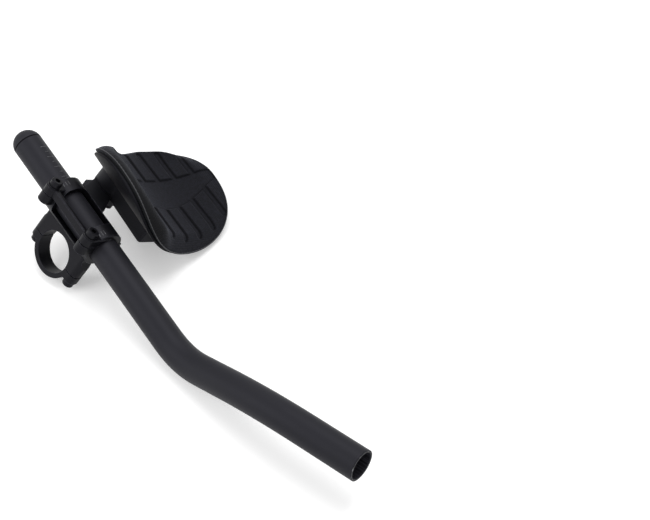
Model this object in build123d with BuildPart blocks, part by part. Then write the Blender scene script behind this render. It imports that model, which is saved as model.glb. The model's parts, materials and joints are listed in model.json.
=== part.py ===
"""Clip-on aero handlebar extension, left-hand unit, modelled in millimetres.

The origin is the centre of the handlebar bore. X runs inboard along the handlebar,
Y runs forward along the straight of the extension tube and Z is up.
"""
import os
from math import cos, hypot, pi, radians, sin, tan

from build123d import *

# Handlebar clamp
bar_diameter = 31.8
ring_wall = 3.8
ring_width = 12.0
edge_chamfer = 0.7
clamp_gap = 0.8
bar_bolt_offset = 22.0
bar_lug_radius = 5.2
bar_lug_drop = 6.6
bar_bolt_engagement = 9.0

# Extension tube
tube_diameter = 22.2
tube_wall = 1.5
tube_height = 34.0
tube_behind_clamp = 75.4
rear_straight = 189.3
first_bend_radius = 58.2
first_bend_angle = 35.1
first_bend_lean = 19.2
middle_straight = 29.0
second_bend_radius = 248.0
second_bend_angle = 16.6
second_bend_turn = -147.5
front_straight = 44.9
fit_clearance = 0.05

# End plug of the tube
plug_dome_length = 11.4
plug_shoulder = 0.8
plug_edge_chamfer = 0.5
plug_stem_length = 18.0
plug_bore_diameter = 13.0

# Clamp body and cap round the tube
clamp_length = 58.0
clamp_wall = 4.0
cap_split_above_axis = 5.0
body_waist = 49.0
body_waist_top = 19.0
body_flare_height = 5.5
body_lug_depth = 7.6
cap_lug_height = 6.2
cap_lug_radius = 5.4
cap_bolt_x = 18.0
cap_bolt_inset = 4.75
cap_bar_width = 3.8
band_length = 11.5
scoop_corner = 8.0
outboard_rail = 5.0
window_floor = 26.0

# Screws and washers
screw_diameter = 5.0
screw_head_diameter = 8.6
screw_head_height = 4.6
screw_key_diameter = 4.4
screw_key_depth = 2.4
washer_diameter = 10.0
washer_thickness = 0.8
spot_face_room = 0.3
flat_head_diameter = 9.4
blind_hole_end = 1.0

# Armrest bracket
ledge_width = 15.0
ledge_rear = 34.0
ledge_front = 8.0
ledge_bottom = 17.5
ledge_thickness = 8.0
tongue_thickness = 7.0
bracket_bolt_rear = 28.5
bracket_bolt_front = 17.5
platform_thickness = 6.5
platform_rear = 42.0
platform_front = 21.0
neck_corner = 3.0

# Armrest rail, in the armrest's own frame
rail_width = 20.0
rail_height = 17.0
rail_front = 23.0
rail_boss_radius = 15.0
rail_boss_rear = 32.5
rail_end_chamfer = 1.5
rail_bolt_rear = 38.5
rail_bolt_front = 26.5
cup_bolt_rear = 11.0
cup_bolt_front = 11.0
rail_thread = 11.0

# Armrest frame: lowest point of the cup's inner surface
armrest_x = -57.8
armrest_y = 0.3
armrest_z = 48.5
armrest_roll = 2.8
armrest_toe_in = 3.0

# Cup and pad
trough_radius = 58.0
rim_arc = 64.0
rim_front = 52.2
rim_rear = 49.5
rim_rear_hollow = 0.045
rim_squareness = 2.6
rim_outboard_squareness = 2.3
rim_rear_inboard_squareness = 2.2
rim_points = 20
pad_thickness = 11.7
pad_edge_thickness = 6.0
pad_edge_round = 4.0
cup_wall = 2.5
cup_inset = 2.0
cup_edge_round = 0.9
cup_seat = 1.0
strip_thickness = 1.0
strip_length = 24.0
strip_arc = 30.0
strip_offset = 27.0
strip_pocket_room = 0.3
channel_width = 3.8
channel_depth = 1.4
channel_pitch = 14.65
channel_shift = 2.5
channels_across = 7
channel_arc = 60.0
channel_front = 39.5
channel_rear = 41.0
band_forward = 3.2
band_half_width = 14.7
band_half_arc = 54.0

# Derived sizes
bar_radius = bar_diameter / 2
ring_radius = bar_radius + ring_wall
half_ring = ring_width / 2
half_gap = clamp_gap / 2
bar_lug_end = bar_bolt_offset + bar_lug_radius
tube_radius = tube_diameter / 2
tube_bore = tube_radius - tube_wall
saddle_bore = tube_radius + fit_clearance
saddle_radius = saddle_bore + clamp_wall
half_clamp = clamp_length / 2
split_height = tube_height + cap_split_above_axis
cap_bottom = split_height + half_gap
body_top = split_height - half_gap
cap_lug_top = cap_bottom + cap_lug_height
cap_bolt_y = half_clamp - cap_bolt_inset
scoop_half_length = half_clamp - band_length
window_inboard = cap_bolt_x - cap_bar_width / 2
screw_radius = screw_diameter / 2
hole_radius = screw_radius + fit_clearance
ledge_top = ledge_bottom + ledge_thickness
ledge_end_x = -saddle_radius - ledge_width
bracket_bolt_x = -saddle_radius - ledge_width / 2
tongue_root_x = -saddle_radius - 2 * fit_clearance
cup_outer_radius = trough_radius + cup_wall
pad_outer_radius = trough_radius - fit_clearance
hook_radius = pad_outer_radius - strip_thickness
loop_radius = hook_radius - fit_clearance - strip_thickness
pocket_radius = loop_radius - fit_clearance
rim_top_radius = trough_radius - pad_edge_thickness
rim_angle = rim_arc / trough_radius
rim_half_width = rim_top_radius * sin(rim_angle)
pad_sag = trough_radius - rim_top_radius * cos(rim_angle) - pad_thickness
pad_top_radius = hypot(rim_half_width, pad_sag) ** 2 / (2 * pad_sag)
pad_top_axis = pad_thickness + pad_top_radius
rail_top = -cup_wall - cup_seat
rail_bottom = rail_top - rail_height
platform_bottom = rail_bottom - platform_thickness
wedge_bottom = cup_outer_radius + pad_thickness
wedge_top = rim_top_radius * cos(rim_angle) / 2
os.makedirs("parts", exist_ok=True)

# Armrest frame: toed in at the front and rolled up at the inboard rim
roll = radians(armrest_roll)
toe = radians(armrest_toe_in)
arm_x = Vector(cos(roll) * cos(toe), -cos(roll) * sin(toe), sin(roll))
arm_y = Vector(sin(toe), cos(toe), 0)
arm_z = arm_x.cross(arm_y)
arm_origin = Vector(armrest_x, armrest_y, armrest_z)
arm = Plane(origin=arm_origin, x_dir=arm_x, z_dir=arm_z)
arm_section = Plane(origin=arm_origin, x_dir=arm_x, z_dir=-arm_y)


def bend(start, direction, inward, radius, angle):
    """Middle, end, end direction and end normal of a tube bend."""
    half = angle / 2
    middle = start + direction * (radius * sin(half)) + inward * (radius * (1 - cos(half)))
    end = start + direction * (radius * sin(angle)) + inward * (radius * (1 - cos(angle)))
    turned = direction * cos(angle) + inward * sin(angle)
    normal = inward * cos(angle) - direction * sin(angle)
    return middle, end, turned, normal


def socket_screw(length):
    """Socket-head screw standing on Z = 0, with its shank pointing down."""
    with BuildPart() as screw:
        with BuildSketch():
            Circle(screw_head_diameter / 2)
        extrude(amount=screw_head_height)
        chamfer(screw.faces().sort_by(Axis.Z)[-1].edges(), edge_chamfer)
        with BuildSketch():
            Circle(screw_radius)
        extrude(amount=-length)
        with BuildSketch(Plane.XY.offset(screw_head_height - screw_key_depth)):
            RegularPolygon(screw_key_diameter / 2, 6)
        extrude(amount=screw_key_depth, mode=Mode.SUBTRACT)
    return screw.part


def washer():
    """Flat washer lying on Z = 0."""
    with BuildPart() as ring:
        with BuildSketch():
            Circle(washer_diameter / 2)
            Circle(hole_radius, mode=Mode.SUBTRACT)
        extrude(amount=washer_thickness)
    return ring.part


def rim_arc_at(turn):
    """Place along the trough's arc, and along the arm, of a point on the pad's rim."""
    squareness = rim_rear_inboard_squareness if sin(turn) < 0 else rim_squareness
    if cos(turn) < 0:
        squareness = rim_outboard_squareness
    across = abs(cos(turn)) ** (2 / squareness)
    along = abs(sin(turn)) ** (2 / squareness)
    if sin(turn) < 0:
        along *= rim_rear_hollow * cos(pi * across / 2) ** 2 - 1
    if cos(turn) < 0:
        across = -across
    return rim_arc * across, (rim_front if sin(turn) > 0 else rim_rear) * along


def rim_section(depth, inset):
    """Slice, at a depth below the trough's axis, of the wedge that cuts the rim square to the surface."""
    points = []
    for step in range(rim_points):
        arc, along = rim_arc_at(2 * pi * (step + 0.5) / rim_points)
        angle = arc * (1 - inset / rim_arc) / trough_radius
        points.append(Vector(depth * tan(angle), along * (1 - inset / rim_front), 0))
    even_steps = [step / rim_points for step in range(rim_points + 1)]
    with BuildSketch(arm.offset(trough_radius - depth)) as section:
        with BuildLine():
            add(Edge.make_spline(points, periodic=True, parameters=even_steps))
        make_face()
    return section.sketch


def rim_wedge(inset):
    """Wedge from near the trough's axis to below the cup, with the rim's outline."""
    with BuildPart() as wedge:
        add(rim_section(wedge_bottom, inset))
        add(rim_section(wedge_top, inset))
        loft(ruled=True)
    return wedge.part


def channel_plane(arc):
    """Plane that touches the pad's top surface at a place along the trough's arc."""
    angle = arc / pad_top_radius
    outward = arm_x * sin(angle) - arm_z * cos(angle)
    across = arm_x * cos(angle) + arm_z * sin(angle)
    touch = arm_origin + arm_z * pad_top_axis + outward * pad_top_radius
    return Plane(origin=touch, x_dir=across, z_dir=-outward)


# Extension tube
run_start = Vector(0, -tube_behind_clamp, tube_height)
run_direction = Vector(0, 1, 0)
lean = radians(first_bend_lean)
first_inward = Vector(sin(lean), 0, cos(lean))
first_start = run_start + run_direction * rear_straight
first_middle, first_end, middle_direction, middle_normal = bend(
    first_start, run_direction, first_inward, first_bend_radius, radians(first_bend_angle)
)
second_start = first_end + middle_direction * middle_straight
second_turn = radians(second_bend_turn)
second_inward = middle_normal * cos(second_turn) + middle_direction.cross(middle_normal) * sin(second_turn)
second_middle, second_end, front_direction, front_normal = bend(
    second_start, middle_direction, second_inward, second_bend_radius, radians(second_bend_angle)
)
tube_mouth = second_end + front_direction * front_straight
with BuildPart() as extension_tube:
    with BuildLine() as tube_path:
        Line(run_start, first_start)
        ThreePointArc(first_start, first_middle, first_end)
        Line(first_end, second_start)
        ThreePointArc(second_start, second_middle, second_end)
        Line(second_end, tube_mouth)
    with BuildSketch(Plane(origin=run_start, z_dir=run_direction)):
        Circle(tube_radius)
        Circle(tube_bore, mode=Mode.SUBTRACT)
    sweep()
extension_tube.part.label = "extension_tube"
export_step(extension_tube.part, "parts/extension_tube.step")

# End plug: a hollow stem in the tube and a bullet dome behind it
with BuildPart() as tube_end_plug:
    with BuildSketch(Plane(origin=run_start, x_dir=(1, 0, 0), z_dir=(0, 0, 1))):
        with BuildLine():
            Line((0, plug_stem_length), (tube_bore - fit_clearance, plug_stem_length))
            Line((tube_bore - fit_clearance, plug_stem_length), (tube_bore - fit_clearance, 0))
            Line((tube_bore - fit_clearance, 0), (tube_radius - plug_edge_chamfer, 0))
            Line((tube_radius - plug_edge_chamfer, 0), (tube_radius, -plug_edge_chamfer))
            Line((tube_radius, -plug_edge_chamfer), (tube_radius, -plug_shoulder))
            EllipticalCenterArc(
                (0, -plug_shoulder), tube_radius, plug_dome_length - plug_shoulder, -90, arc_size=90
            )
            Line((0, -plug_dome_length), (0, plug_stem_length))
        make_face()
    revolve(axis=Axis(run_start, run_direction))
    with BuildSketch(Plane(origin=run_start, z_dir=run_direction)):
        Circle(plug_bore_diameter / 2)
    extrude(amount=plug_stem_length, mode=Mode.SUBTRACT)
tube_end_plug.part.label = "tube_end_plug"
export_step(tube_end_plug.part, "parts/tube_end_plug.step")

# Clamp body: upper half ring, waisted plate and the saddle of the tube
with BuildPart() as clamp_body:
    with BuildSketch(Plane.YZ):
        with BuildLine():
            FilletPolyline(
                (-bar_lug_end, -ring_radius),
                (-bar_lug_end, bar_bolt_engagement),
                (-body_waist / 2, bar_bolt_engagement + 2 * neck_corner),
                (-body_waist / 2, body_waist_top),
                (-half_clamp, body_waist_top + body_flare_height),
                (-half_clamp, tube_height),
                (half_clamp, tube_height),
                (half_clamp, body_waist_top + body_flare_height),
                (body_waist / 2, body_waist_top),
                (body_waist / 2, bar_bolt_engagement + 2 * neck_corner),
                (bar_lug_end, bar_bolt_engagement),
                (bar_lug_end, -ring_radius),
                radius=neck_corner,
                close=True,
            )
        make_face()
    extrude(amount=half_ring, both=True)
    side_faces = clamp_body.faces().filter_by(Axis.X)
    chamfer(side_faces.edges(), edge_chamfer)
    with BuildSketch(Plane.XY.offset(-ring_radius)):
        RectangleRounded(ring_width, 2 * bar_lug_end, bar_lug_radius)
    extrude(amount=ring_radius + tube_height, mode=Mode.INTERSECT)
    with BuildSketch(Plane.XZ):
        with Locations((0, tube_height)):
            Circle(saddle_radius)
        with Locations((0, (tube_height + body_top) / 2)):
            Rectangle(2 * saddle_radius, body_top - tube_height)
    extrude(amount=half_clamp, both=True)
    with BuildSketch(Plane.XY.offset(body_top)):
        with Locations((cap_bolt_x, cap_bolt_y), (cap_bolt_x, -cap_bolt_y)):
            Circle(cap_lug_radius)
        with Locations((cap_bolt_x / 2, cap_bolt_y), (cap_bolt_x / 2, -cap_bolt_y)):
            Rectangle(cap_bolt_x, 2 * cap_lug_radius)
    extrude(amount=-body_lug_depth)
    with BuildSketch(Plane.XY.offset(ledge_bottom)):
        with Locations((ledge_end_x / 2, -(ledge_rear + ledge_front) / 2)):
            Rectangle(-ledge_end_x, ledge_rear - ledge_front)
    extrude(amount=ledge_thickness)
    fillet(
        clamp_body.edges().filter_by(Axis.Z).group_by(Axis.X)[0],
        neck_corner,
    )
    with BuildSketch(Plane.XY.offset(window_floor)):
        with Locations((saddle_radius, 0)):
            RectangleRounded(2 * (saddle_radius - half_ring), 2 * scoop_half_length, neck_corner)
    extrude(amount=tube_height, mode=Mode.SUBTRACT)
    with BuildSketch(Plane.XY.offset(body_top)):
        Rectangle(4 * tube_diameter, 2 * clamp_length)
    extrude(amount=tube_height, mode=Mode.SUBTRACT)
    with BuildSketch(Plane.XY.offset(half_gap)):
        Rectangle(4 * tube_diameter, 2 * clamp_length)
    extrude(amount=-2 * ring_radius, mode=Mode.SUBTRACT)
    with BuildSketch(Plane.XZ):
        with Locations((0, tube_height)):
            Circle(saddle_bore)
    extrude(amount=clamp_length, both=True, mode=Mode.SUBTRACT)
    with BuildSketch(Plane.YZ):
        Circle(bar_radius)
    extrude(amount=clamp_length, both=True, mode=Mode.SUBTRACT)
    with BuildSketch(Plane.XY.offset(half_gap)):
        with Locations((0, bar_bolt_offset), (0, -bar_bolt_offset)):
            Circle(hole_radius)
    extrude(amount=bar_bolt_engagement + blind_hole_end, mode=Mode.SUBTRACT)
    with BuildSketch(Plane.XY.offset(body_top)):
        with Locations((cap_bolt_x, cap_bolt_y), (cap_bolt_x, -cap_bolt_y)):
            Circle(hole_radius)
    extrude(amount=-2 * body_lug_depth, mode=Mode.SUBTRACT)
    with BuildSketch(Plane.XY.offset(ledge_top)):
        with Locations((bracket_bolt_x, -bracket_bolt_rear), (bracket_bolt_x, -bracket_bolt_front)):
            Circle(hole_radius)
    extrude(amount=-ledge_thickness, mode=Mode.SUBTRACT)
clamp_body.part.label = "clamp_body"
export_step(clamp_body.part, "parts/clamp_body.step")

# Lower half of the handlebar clamp
with BuildPart() as bar_clamp_cap:
    with BuildSketch(Plane.YZ):
        Circle(ring_radius)
        with Locations((0, -bar_lug_drop / 2)):
            Rectangle(2 * bar_lug_end, bar_lug_drop)
        with Locations((0, ring_radius - half_gap)):
            Rectangle(4 * ring_radius, 2 * ring_radius, mode=Mode.SUBTRACT)
        Circle(bar_radius, mode=Mode.SUBTRACT)
    extrude(amount=half_ring, both=True)
    lug_ends = bar_clamp_cap.edges().filter_by(Axis.Z)
    fillet(lug_ends.group_by(Axis.Y)[0] + lug_ends.group_by(Axis.Y)[-1], bar_lug_radius)
    with BuildSketch(Plane.XY):
        with Locations((0, bar_bolt_offset), (0, -bar_bolt_offset)):
            Circle(hole_radius)
    extrude(amount=-2 * ring_radius, mode=Mode.SUBTRACT)
    with BuildSketch(Plane.XY.offset(-bar_lug_drop)):
        with Locations((0, bar_bolt_offset), (0, -bar_bolt_offset)):
            Circle(washer_diameter / 2 + spot_face_room)
    extrude(amount=-2 * ring_radius, mode=Mode.SUBTRACT)
bar_clamp_cap.part.label = "bar_clamp_cap"
export_step(bar_clamp_cap.part, "parts/bar_clamp_cap.step")

# Screws of the handlebar clamp, with their heads underneath
bar_seat = -bar_lug_drop
bar_screw_length = bar_bolt_engagement + half_gap + bar_lug_drop + washer_thickness
with BuildPart() as bar_clamp_bolts:
    with Locations(
        Location((0, bar_bolt_offset, bar_seat - washer_thickness), (180, 0, 0)),
        Location((0, -bar_bolt_offset, bar_seat - washer_thickness), (180, 0, 0)),
    ):
        add(socket_screw(bar_screw_length))
bar_clamp_bolts.part.label = "bar_clamp_bolts"
export_step(bar_clamp_bolts.part, "parts/bar_clamp_bolts.step")

with BuildPart() as bar_clamp_washers:
    with Locations((0, bar_bolt_offset, bar_seat - washer_thickness), (0, -bar_bolt_offset, bar_seat - washer_thickness)):
        add(washer())
bar_clamp_washers.part.label = "bar_clamp_washers"
export_step(bar_clamp_washers.part, "parts/bar_clamp_washers.step")

# Cap over the tube: two bands, an inboard bar and an outboard rail round an open scoop
with BuildPart() as extension_clamp_cap:
    with BuildSketch(Plane.XY.offset(cap_bottom)):
        with Locations((cap_bolt_x, cap_bolt_y), (cap_bolt_x, -cap_bolt_y)):
            Circle(cap_lug_radius)
        with Locations((cap_bolt_x / 2, cap_bolt_y), (cap_bolt_x / 2, -cap_bolt_y)):
            Rectangle(cap_bolt_x, 2 * cap_lug_radius)
        with Locations((cap_bolt_x, 0)):
            Rectangle(cap_bar_width, 2 * cap_bolt_y)
    extrude(amount=cap_lug_height)
    chamfer(extension_clamp_cap.faces().sort_by(Axis.Z)[-1].edges(), edge_chamfer)
    with BuildSketch(Plane.XZ):
        with Locations((0, tube_height)):
            Circle(saddle_radius)
        with Locations((0, cap_bottom - tube_height)):
            Rectangle(4 * saddle_radius, 2 * tube_height, mode=Mode.SUBTRACT)
    extrude(amount=half_clamp, both=True)
    band_ends = extension_clamp_cap.edges().filter_by(GeomType.CIRCLE)
    chamfer(band_ends.group_by(Axis.Y)[0] + band_ends.group_by(Axis.Y)[-1], edge_chamfer)
    with BuildSketch(Plane.XY.offset(cap_bottom - half_gap)):
        with Locations(((window_inboard - saddle_radius + outboard_rail) / 2, 0)):
            RectangleRounded(
                window_inboard + saddle_radius - outboard_rail, 2 * scoop_half_length, scoop_corner
            )
    extrude(amount=tube_diameter, mode=Mode.SUBTRACT)
    with BuildSketch(Plane.XZ):
        with Locations((0, tube_height)):
            Circle(saddle_bore)
    extrude(amount=clamp_length, both=True, mode=Mode.SUBTRACT)
    with BuildSketch(Plane.XY.offset(cap_bottom)):
        with Locations((cap_bolt_x, cap_bolt_y), (cap_bolt_x, -cap_bolt_y)):
            Circle(hole_radius)
    extrude(amount=2 * cap_lug_height, mode=Mode.SUBTRACT)
extension_clamp_cap.part.label = "extension_clamp_cap"
export_step(extension_clamp_cap.part, "parts/extension_clamp_cap.step")

# Screws of the tube clamp
cap_seat = cap_lug_top + washer_thickness
cap_screw_length = washer_thickness + cap_lug_height + clamp_gap + body_lug_depth
with BuildPart() as extension_clamp_bolts:
    with Locations((cap_bolt_x, cap_bolt_y, cap_seat), (cap_bolt_x, -cap_bolt_y, cap_seat)):
        add(socket_screw(cap_screw_length))
extension_clamp_bolts.part.label = "extension_clamp_bolts"
export_step(extension_clamp_bolts.part, "parts/extension_clamp_bolts.step")

with BuildPart() as extension_clamp_washers:
    with Locations((cap_bolt_x, cap_bolt_y, cap_lug_top), (cap_bolt_x, -cap_bolt_y, cap_lug_top)):
        add(washer())
extension_clamp_washers.part.label = "extension_clamp_washers"
export_step(extension_clamp_washers.part, "parts/extension_clamp_washers.step")

# Armrest bracket: a tongue on the ledge, a neck and a platform under the rail
with BuildPart() as armrest_bracket:
    with BuildSketch(Plane.XY.offset(ledge_top)):
        with BuildLine():
            Polyline(
                (tongue_root_x, -ledge_front),
                (tongue_root_x, -ledge_rear),
                (ledge_end_x, -ledge_rear),
                (armrest_x + rail_width / 2, -platform_rear),
                (armrest_x + rail_width / 2, -platform_front),
                (ledge_end_x, -ledge_front),
                close=True,
            )
        make_face()
    extrude(amount=tongue_thickness)
    with BuildSketch(arm.offset(rail_bottom)):
        with BuildLine():
            Polyline(
                (-rail_width / 2, -platform_rear),
                (-rail_width / 2, -platform_front),
                (rail_width, -platform_front),
                (rail_width, -platform_rear),
                close=True,
            )
        make_face()
    extrude(amount=-platform_thickness)
    with BuildSketch(arm.offset(rail_bottom)):
        with Locations((0, -rail_boss_rear)):
            Circle(rail_boss_radius + fit_clearance)
        Rectangle(rail_width + 2 * fit_clearance, 4 * rail_boss_rear)
    extrude(amount=rail_height, mode=Mode.SUBTRACT)
    with BuildSketch(Plane.XY.offset(ledge_top)):
        with Locations((bracket_bolt_x, -bracket_bolt_rear), (bracket_bolt_x, -bracket_bolt_front)):
            Circle(hole_radius)
    extrude(amount=tongue_thickness - blind_hole_end, mode=Mode.SUBTRACT)
    with BuildSketch(arm.offset(rail_bottom)):
        with Locations((0, -rail_bolt_rear), (0, -rail_bolt_front)):
            Circle(hole_radius)
    extrude(amount=-platform_thickness, mode=Mode.SUBTRACT)
armrest_bracket.part.label = "armrest_bracket"
export_step(armrest_bracket.part, "parts/armrest_bracket.step")

# Screws that hold the bracket on the clamp body, with their heads underneath
bracket_seat = ledge_bottom - washer_thickness
bracket_screw_length = washer_thickness + ledge_thickness + tongue_thickness - 2 * blind_hole_end
with BuildPart() as bracket_bolts:
    with Locations(
        Location((bracket_bolt_x, -bracket_bolt_rear, bracket_seat), (180, 0, 0)),
        Location((bracket_bolt_x, -bracket_bolt_front, bracket_seat), (180, 0, 0)),
    ):
        add(socket_screw(bracket_screw_length))
bracket_bolts.part.label = "bracket_bolts"
export_step(bracket_bolts.part, "parts/bracket_bolts.step")

with BuildPart() as bracket_washers:
    with Locations(
        (bracket_bolt_x, -bracket_bolt_rear, bracket_seat),
        (bracket_bolt_x, -bracket_bolt_front, bracket_seat),
    ):
        add(washer())
bracket_washers.part.label = "bracket_washers"
export_step(bracket_washers.part, "parts/bracket_washers.step")

# Rail under the cup, with a round boss at the rear and a square front end
with BuildPart() as armrest_rail:
    with BuildSketch(arm.offset(rail_bottom)) as rail_plan:
        with Locations((0, (rail_front - rail_boss_rear) / 2)):
            Rectangle(rail_width, rail_front + rail_boss_rear)
        chamfer(rail_plan.vertices().group_by(Axis.Y)[-1], rail_end_chamfer)
        with Locations((0, -rail_boss_rear)):
            Circle(rail_boss_radius)
    extrude(amount=rail_height)
    chamfer(armrest_rail.faces().sort_by(Axis(arm_origin, arm_z))[0].edges(), edge_chamfer)
    with BuildSketch(arm.offset(rail_bottom)):
        with Locations((0, -rail_bolt_rear), (0, -rail_bolt_front)):
            Circle(hole_radius)
    extrude(amount=rail_thread, mode=Mode.SUBTRACT)
    with BuildSketch(arm.offset(rail_top)):
        with Locations((0, -cup_bolt_rear), (0, cup_bolt_front)):
            Circle(hole_radius)
    extrude(amount=-rail_thread, mode=Mode.SUBTRACT)
armrest_rail.part.label = "armrest_rail"
export_step(armrest_rail.part, "parts/armrest_rail.step")

# Screws that hold the rail on the bracket, with their heads underneath
rail_screw_length = washer_thickness + platform_thickness + rail_thread - blind_hole_end
arm_down = Plane(origin=arm_origin, x_dir=arm_x, z_dir=-arm_z)
with BuildPart(arm_down.offset(-platform_bottom + washer_thickness)) as rail_bolts:
    with Locations((0, rail_bolt_rear), (0, rail_bolt_front)):
        add(socket_screw(rail_screw_length))
rail_bolts.part.label = "rail_bolts"
export_step(rail_bolts.part, "parts/rail_bolts.step")

with BuildPart(arm_down.offset(-platform_bottom)) as rail_washers:
    with Locations((0, rail_bolt_rear), (0, rail_bolt_front)):
        add(washer())
rail_washers.part.label = "rail_washers"
export_step(rail_washers.part, "parts/rail_washers.step")

# Cup: a curved shell with a flat seat on the rail
with BuildPart() as armrest_cup:
    with BuildSketch(arm_section):
        with Locations((0, trough_radius)):
            Circle(cup_outer_radius)
    extrude(amount=2 * rim_front, both=True)
    add(rim_wedge(cup_inset), mode=Mode.INTERSECT)
    with BuildSketch(arm.offset(rail_top)):
        with Locations((0, (rail_front - rail_boss_rear) / 2)):
            Rectangle(rail_width - 2 * rail_end_chamfer, rail_front + rail_boss_rear)
    extrude(amount=cup_seat + cup_wall)
    with BuildSketch(arm_section):
        with Locations((0, trough_radius)):
            Circle(trough_radius)
    extrude(amount=2 * rim_front, both=True, mode=Mode.SUBTRACT)
    rim_face = armrest_cup.faces().filter_by(GeomType.BSPLINE)
    fillet(rim_face.edges(), cup_edge_round)
    with Locations(arm):
        with Locations((0, -cup_bolt_rear), (0, cup_bolt_front)):
            CounterSinkHole(hole_radius, flat_head_diameter / 2 + fit_clearance, 2 * cup_wall + cup_seat)
armrest_cup.part.label = "armrest_cup"
export_step(armrest_cup.part, "parts/armrest_cup.step")

# Flat-head screws of the cup
cup_screw_length = cup_wall + cup_seat + rail_thread - blind_hole_end
flat_head_height = flat_head_diameter / 2 - screw_radius
with BuildPart(arm) as cup_bolts:
    with Locations((0, -cup_bolt_rear), (0, cup_bolt_front)):
        Cone(screw_radius, flat_head_diameter / 2, flat_head_height, align=(Align.CENTER, Align.CENTER, Align.MAX))
        Cylinder(screw_radius, cup_screw_length, align=(Align.CENTER, Align.CENTER, Align.MAX))
cup_bolts.part.label = "cup_bolts"
export_step(cup_bolts.part, "parts/cup_bolts.step")


def fastener_strips(inner_radius, outer_radius, room):
    """Two curved patches, front and rear, between two radii of the trough."""
    half_spread = 2 * inner_radius * tan((strip_arc + room) / inner_radius)
    with BuildPart() as strips:
        for side in (-1, 1):
            with BuildSketch(arm_section.offset(-side * strip_offset)):
                with Locations((0, trough_radius)):
                    Circle(outer_radius)
                    Circle(inner_radius, mode=Mode.SUBTRACT)
                with BuildLine():
                    Polyline(
                        (0, trough_radius),
                        (-half_spread, trough_radius - 2 * inner_radius),
                        (half_spread, trough_radius - 2 * inner_radius),
                        close=True,
                    )
                make_face(mode=Mode.INTERSECT)
            extrude(amount=strip_length / 2 + room, both=True)
    return strips.part


with BuildPart() as pad_hook_strips:
    add(fastener_strips(hook_radius, pad_outer_radius, 0))
pad_hook_strips.part.label = "pad_hook_strips"
export_step(pad_hook_strips.part, "parts/pad_hook_strips.step")

with BuildPart() as pad_loop_strips:
    add(fastener_strips(loop_radius, loop_radius + strip_thickness, 0))
pad_loop_strips.part.label = "pad_loop_strips"
export_step(pad_loop_strips.part, "parts/pad_loop_strips.step")

# Pad: a ribbed foam sheet that follows the trough
with BuildPart() as band_cutter:
    with BuildSketch(arm_section):
        with Locations((0, pad_top_axis)):
            Circle(pad_top_radius + channel_depth)
    extrude(amount=rim_front, both=True)
    band_half = pad_top_radius * sin(band_half_arc / pad_top_radius)
    with BuildSketch(arm):
        with BuildLine():
            ThreePointArc((-band_half, band_forward), (0, band_forward + band_half_width), (band_half, band_forward))
            ThreePointArc((band_half, band_forward), (0, band_forward - band_half_width), (-band_half, band_forward))
        make_face()
    extrude(amount=pad_top_axis, mode=Mode.INTERSECT)

with BuildPart() as armrest_pad:
    with BuildSketch(arm_section):
        with Locations((0, trough_radius)):
            Circle(pad_outer_radius)
        with Locations((0, pad_top_axis)):
            Circle(pad_top_radius, mode=Mode.SUBTRACT)
    extrude(amount=2 * rim_front, both=True)
    add(rim_wedge(0), mode=Mode.INTERSECT)
    top_face = armrest_pad.faces().filter_by(lambda face: abs((face.radius or 0) - pad_top_radius) < fit_clearance)
    fillet(top_face.edges(), pad_edge_round)
    add(band_cutter.part, mode=Mode.SUBTRACT)
    add(fastener_strips(pocket_radius, cup_outer_radius, strip_pocket_room), mode=Mode.SUBTRACT)
    for column in range(channels_across):
        arc = (column - (channels_across - 1) / 2) * channel_pitch + channel_shift
        shortening = (1 - (arc / channel_arc) ** 2) ** 0.5
        front_end = band_forward + channel_front * shortening
        rear_end = band_forward - channel_rear * shortening
        with BuildSketch(channel_plane(arc).offset(channel_depth)):
            with Locations((0, (front_end + rear_end) / 2)):
                SlotOverall(front_end - rear_end, channel_width, rotation=90)
        extrude(amount=-2 * channel_depth, mode=Mode.SUBTRACT)
armrest_pad.part.label = "armrest_pad"
export_step(armrest_pad.part, "parts/armrest_pad.step")
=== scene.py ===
"""Looks of a clip-on aero handlebar extension: finishes, armrest pad, sewn edge, printed ticks and stage."""
import json
import math

import bpy
import numpy as np
from bpy.props import FloatProperty, FloatVectorProperty, IntProperty, PointerProperty
from mathutils import Matrix, Vector
from mathutils.kdtree import KDTree


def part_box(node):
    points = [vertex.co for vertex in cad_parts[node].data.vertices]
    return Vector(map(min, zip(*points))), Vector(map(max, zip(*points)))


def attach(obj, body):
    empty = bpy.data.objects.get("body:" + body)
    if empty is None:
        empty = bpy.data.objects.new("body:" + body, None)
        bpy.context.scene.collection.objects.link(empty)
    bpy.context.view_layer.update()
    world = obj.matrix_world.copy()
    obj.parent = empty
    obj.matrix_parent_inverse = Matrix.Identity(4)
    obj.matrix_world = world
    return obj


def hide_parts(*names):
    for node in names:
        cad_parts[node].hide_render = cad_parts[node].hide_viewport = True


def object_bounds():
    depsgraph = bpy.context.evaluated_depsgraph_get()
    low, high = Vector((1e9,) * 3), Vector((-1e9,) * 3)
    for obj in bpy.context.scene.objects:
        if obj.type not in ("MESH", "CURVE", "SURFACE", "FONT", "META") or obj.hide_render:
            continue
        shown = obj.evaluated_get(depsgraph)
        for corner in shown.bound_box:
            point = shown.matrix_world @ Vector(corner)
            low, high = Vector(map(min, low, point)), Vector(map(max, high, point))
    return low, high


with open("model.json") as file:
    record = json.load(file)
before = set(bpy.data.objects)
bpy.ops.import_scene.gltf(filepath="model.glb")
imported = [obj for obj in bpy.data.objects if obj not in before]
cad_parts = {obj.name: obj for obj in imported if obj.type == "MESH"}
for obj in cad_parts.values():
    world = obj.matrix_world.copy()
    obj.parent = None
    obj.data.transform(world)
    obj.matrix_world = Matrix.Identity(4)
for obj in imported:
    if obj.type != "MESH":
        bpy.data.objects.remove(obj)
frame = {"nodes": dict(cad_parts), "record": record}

CAD_BOX = [list(corner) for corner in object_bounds()]

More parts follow.
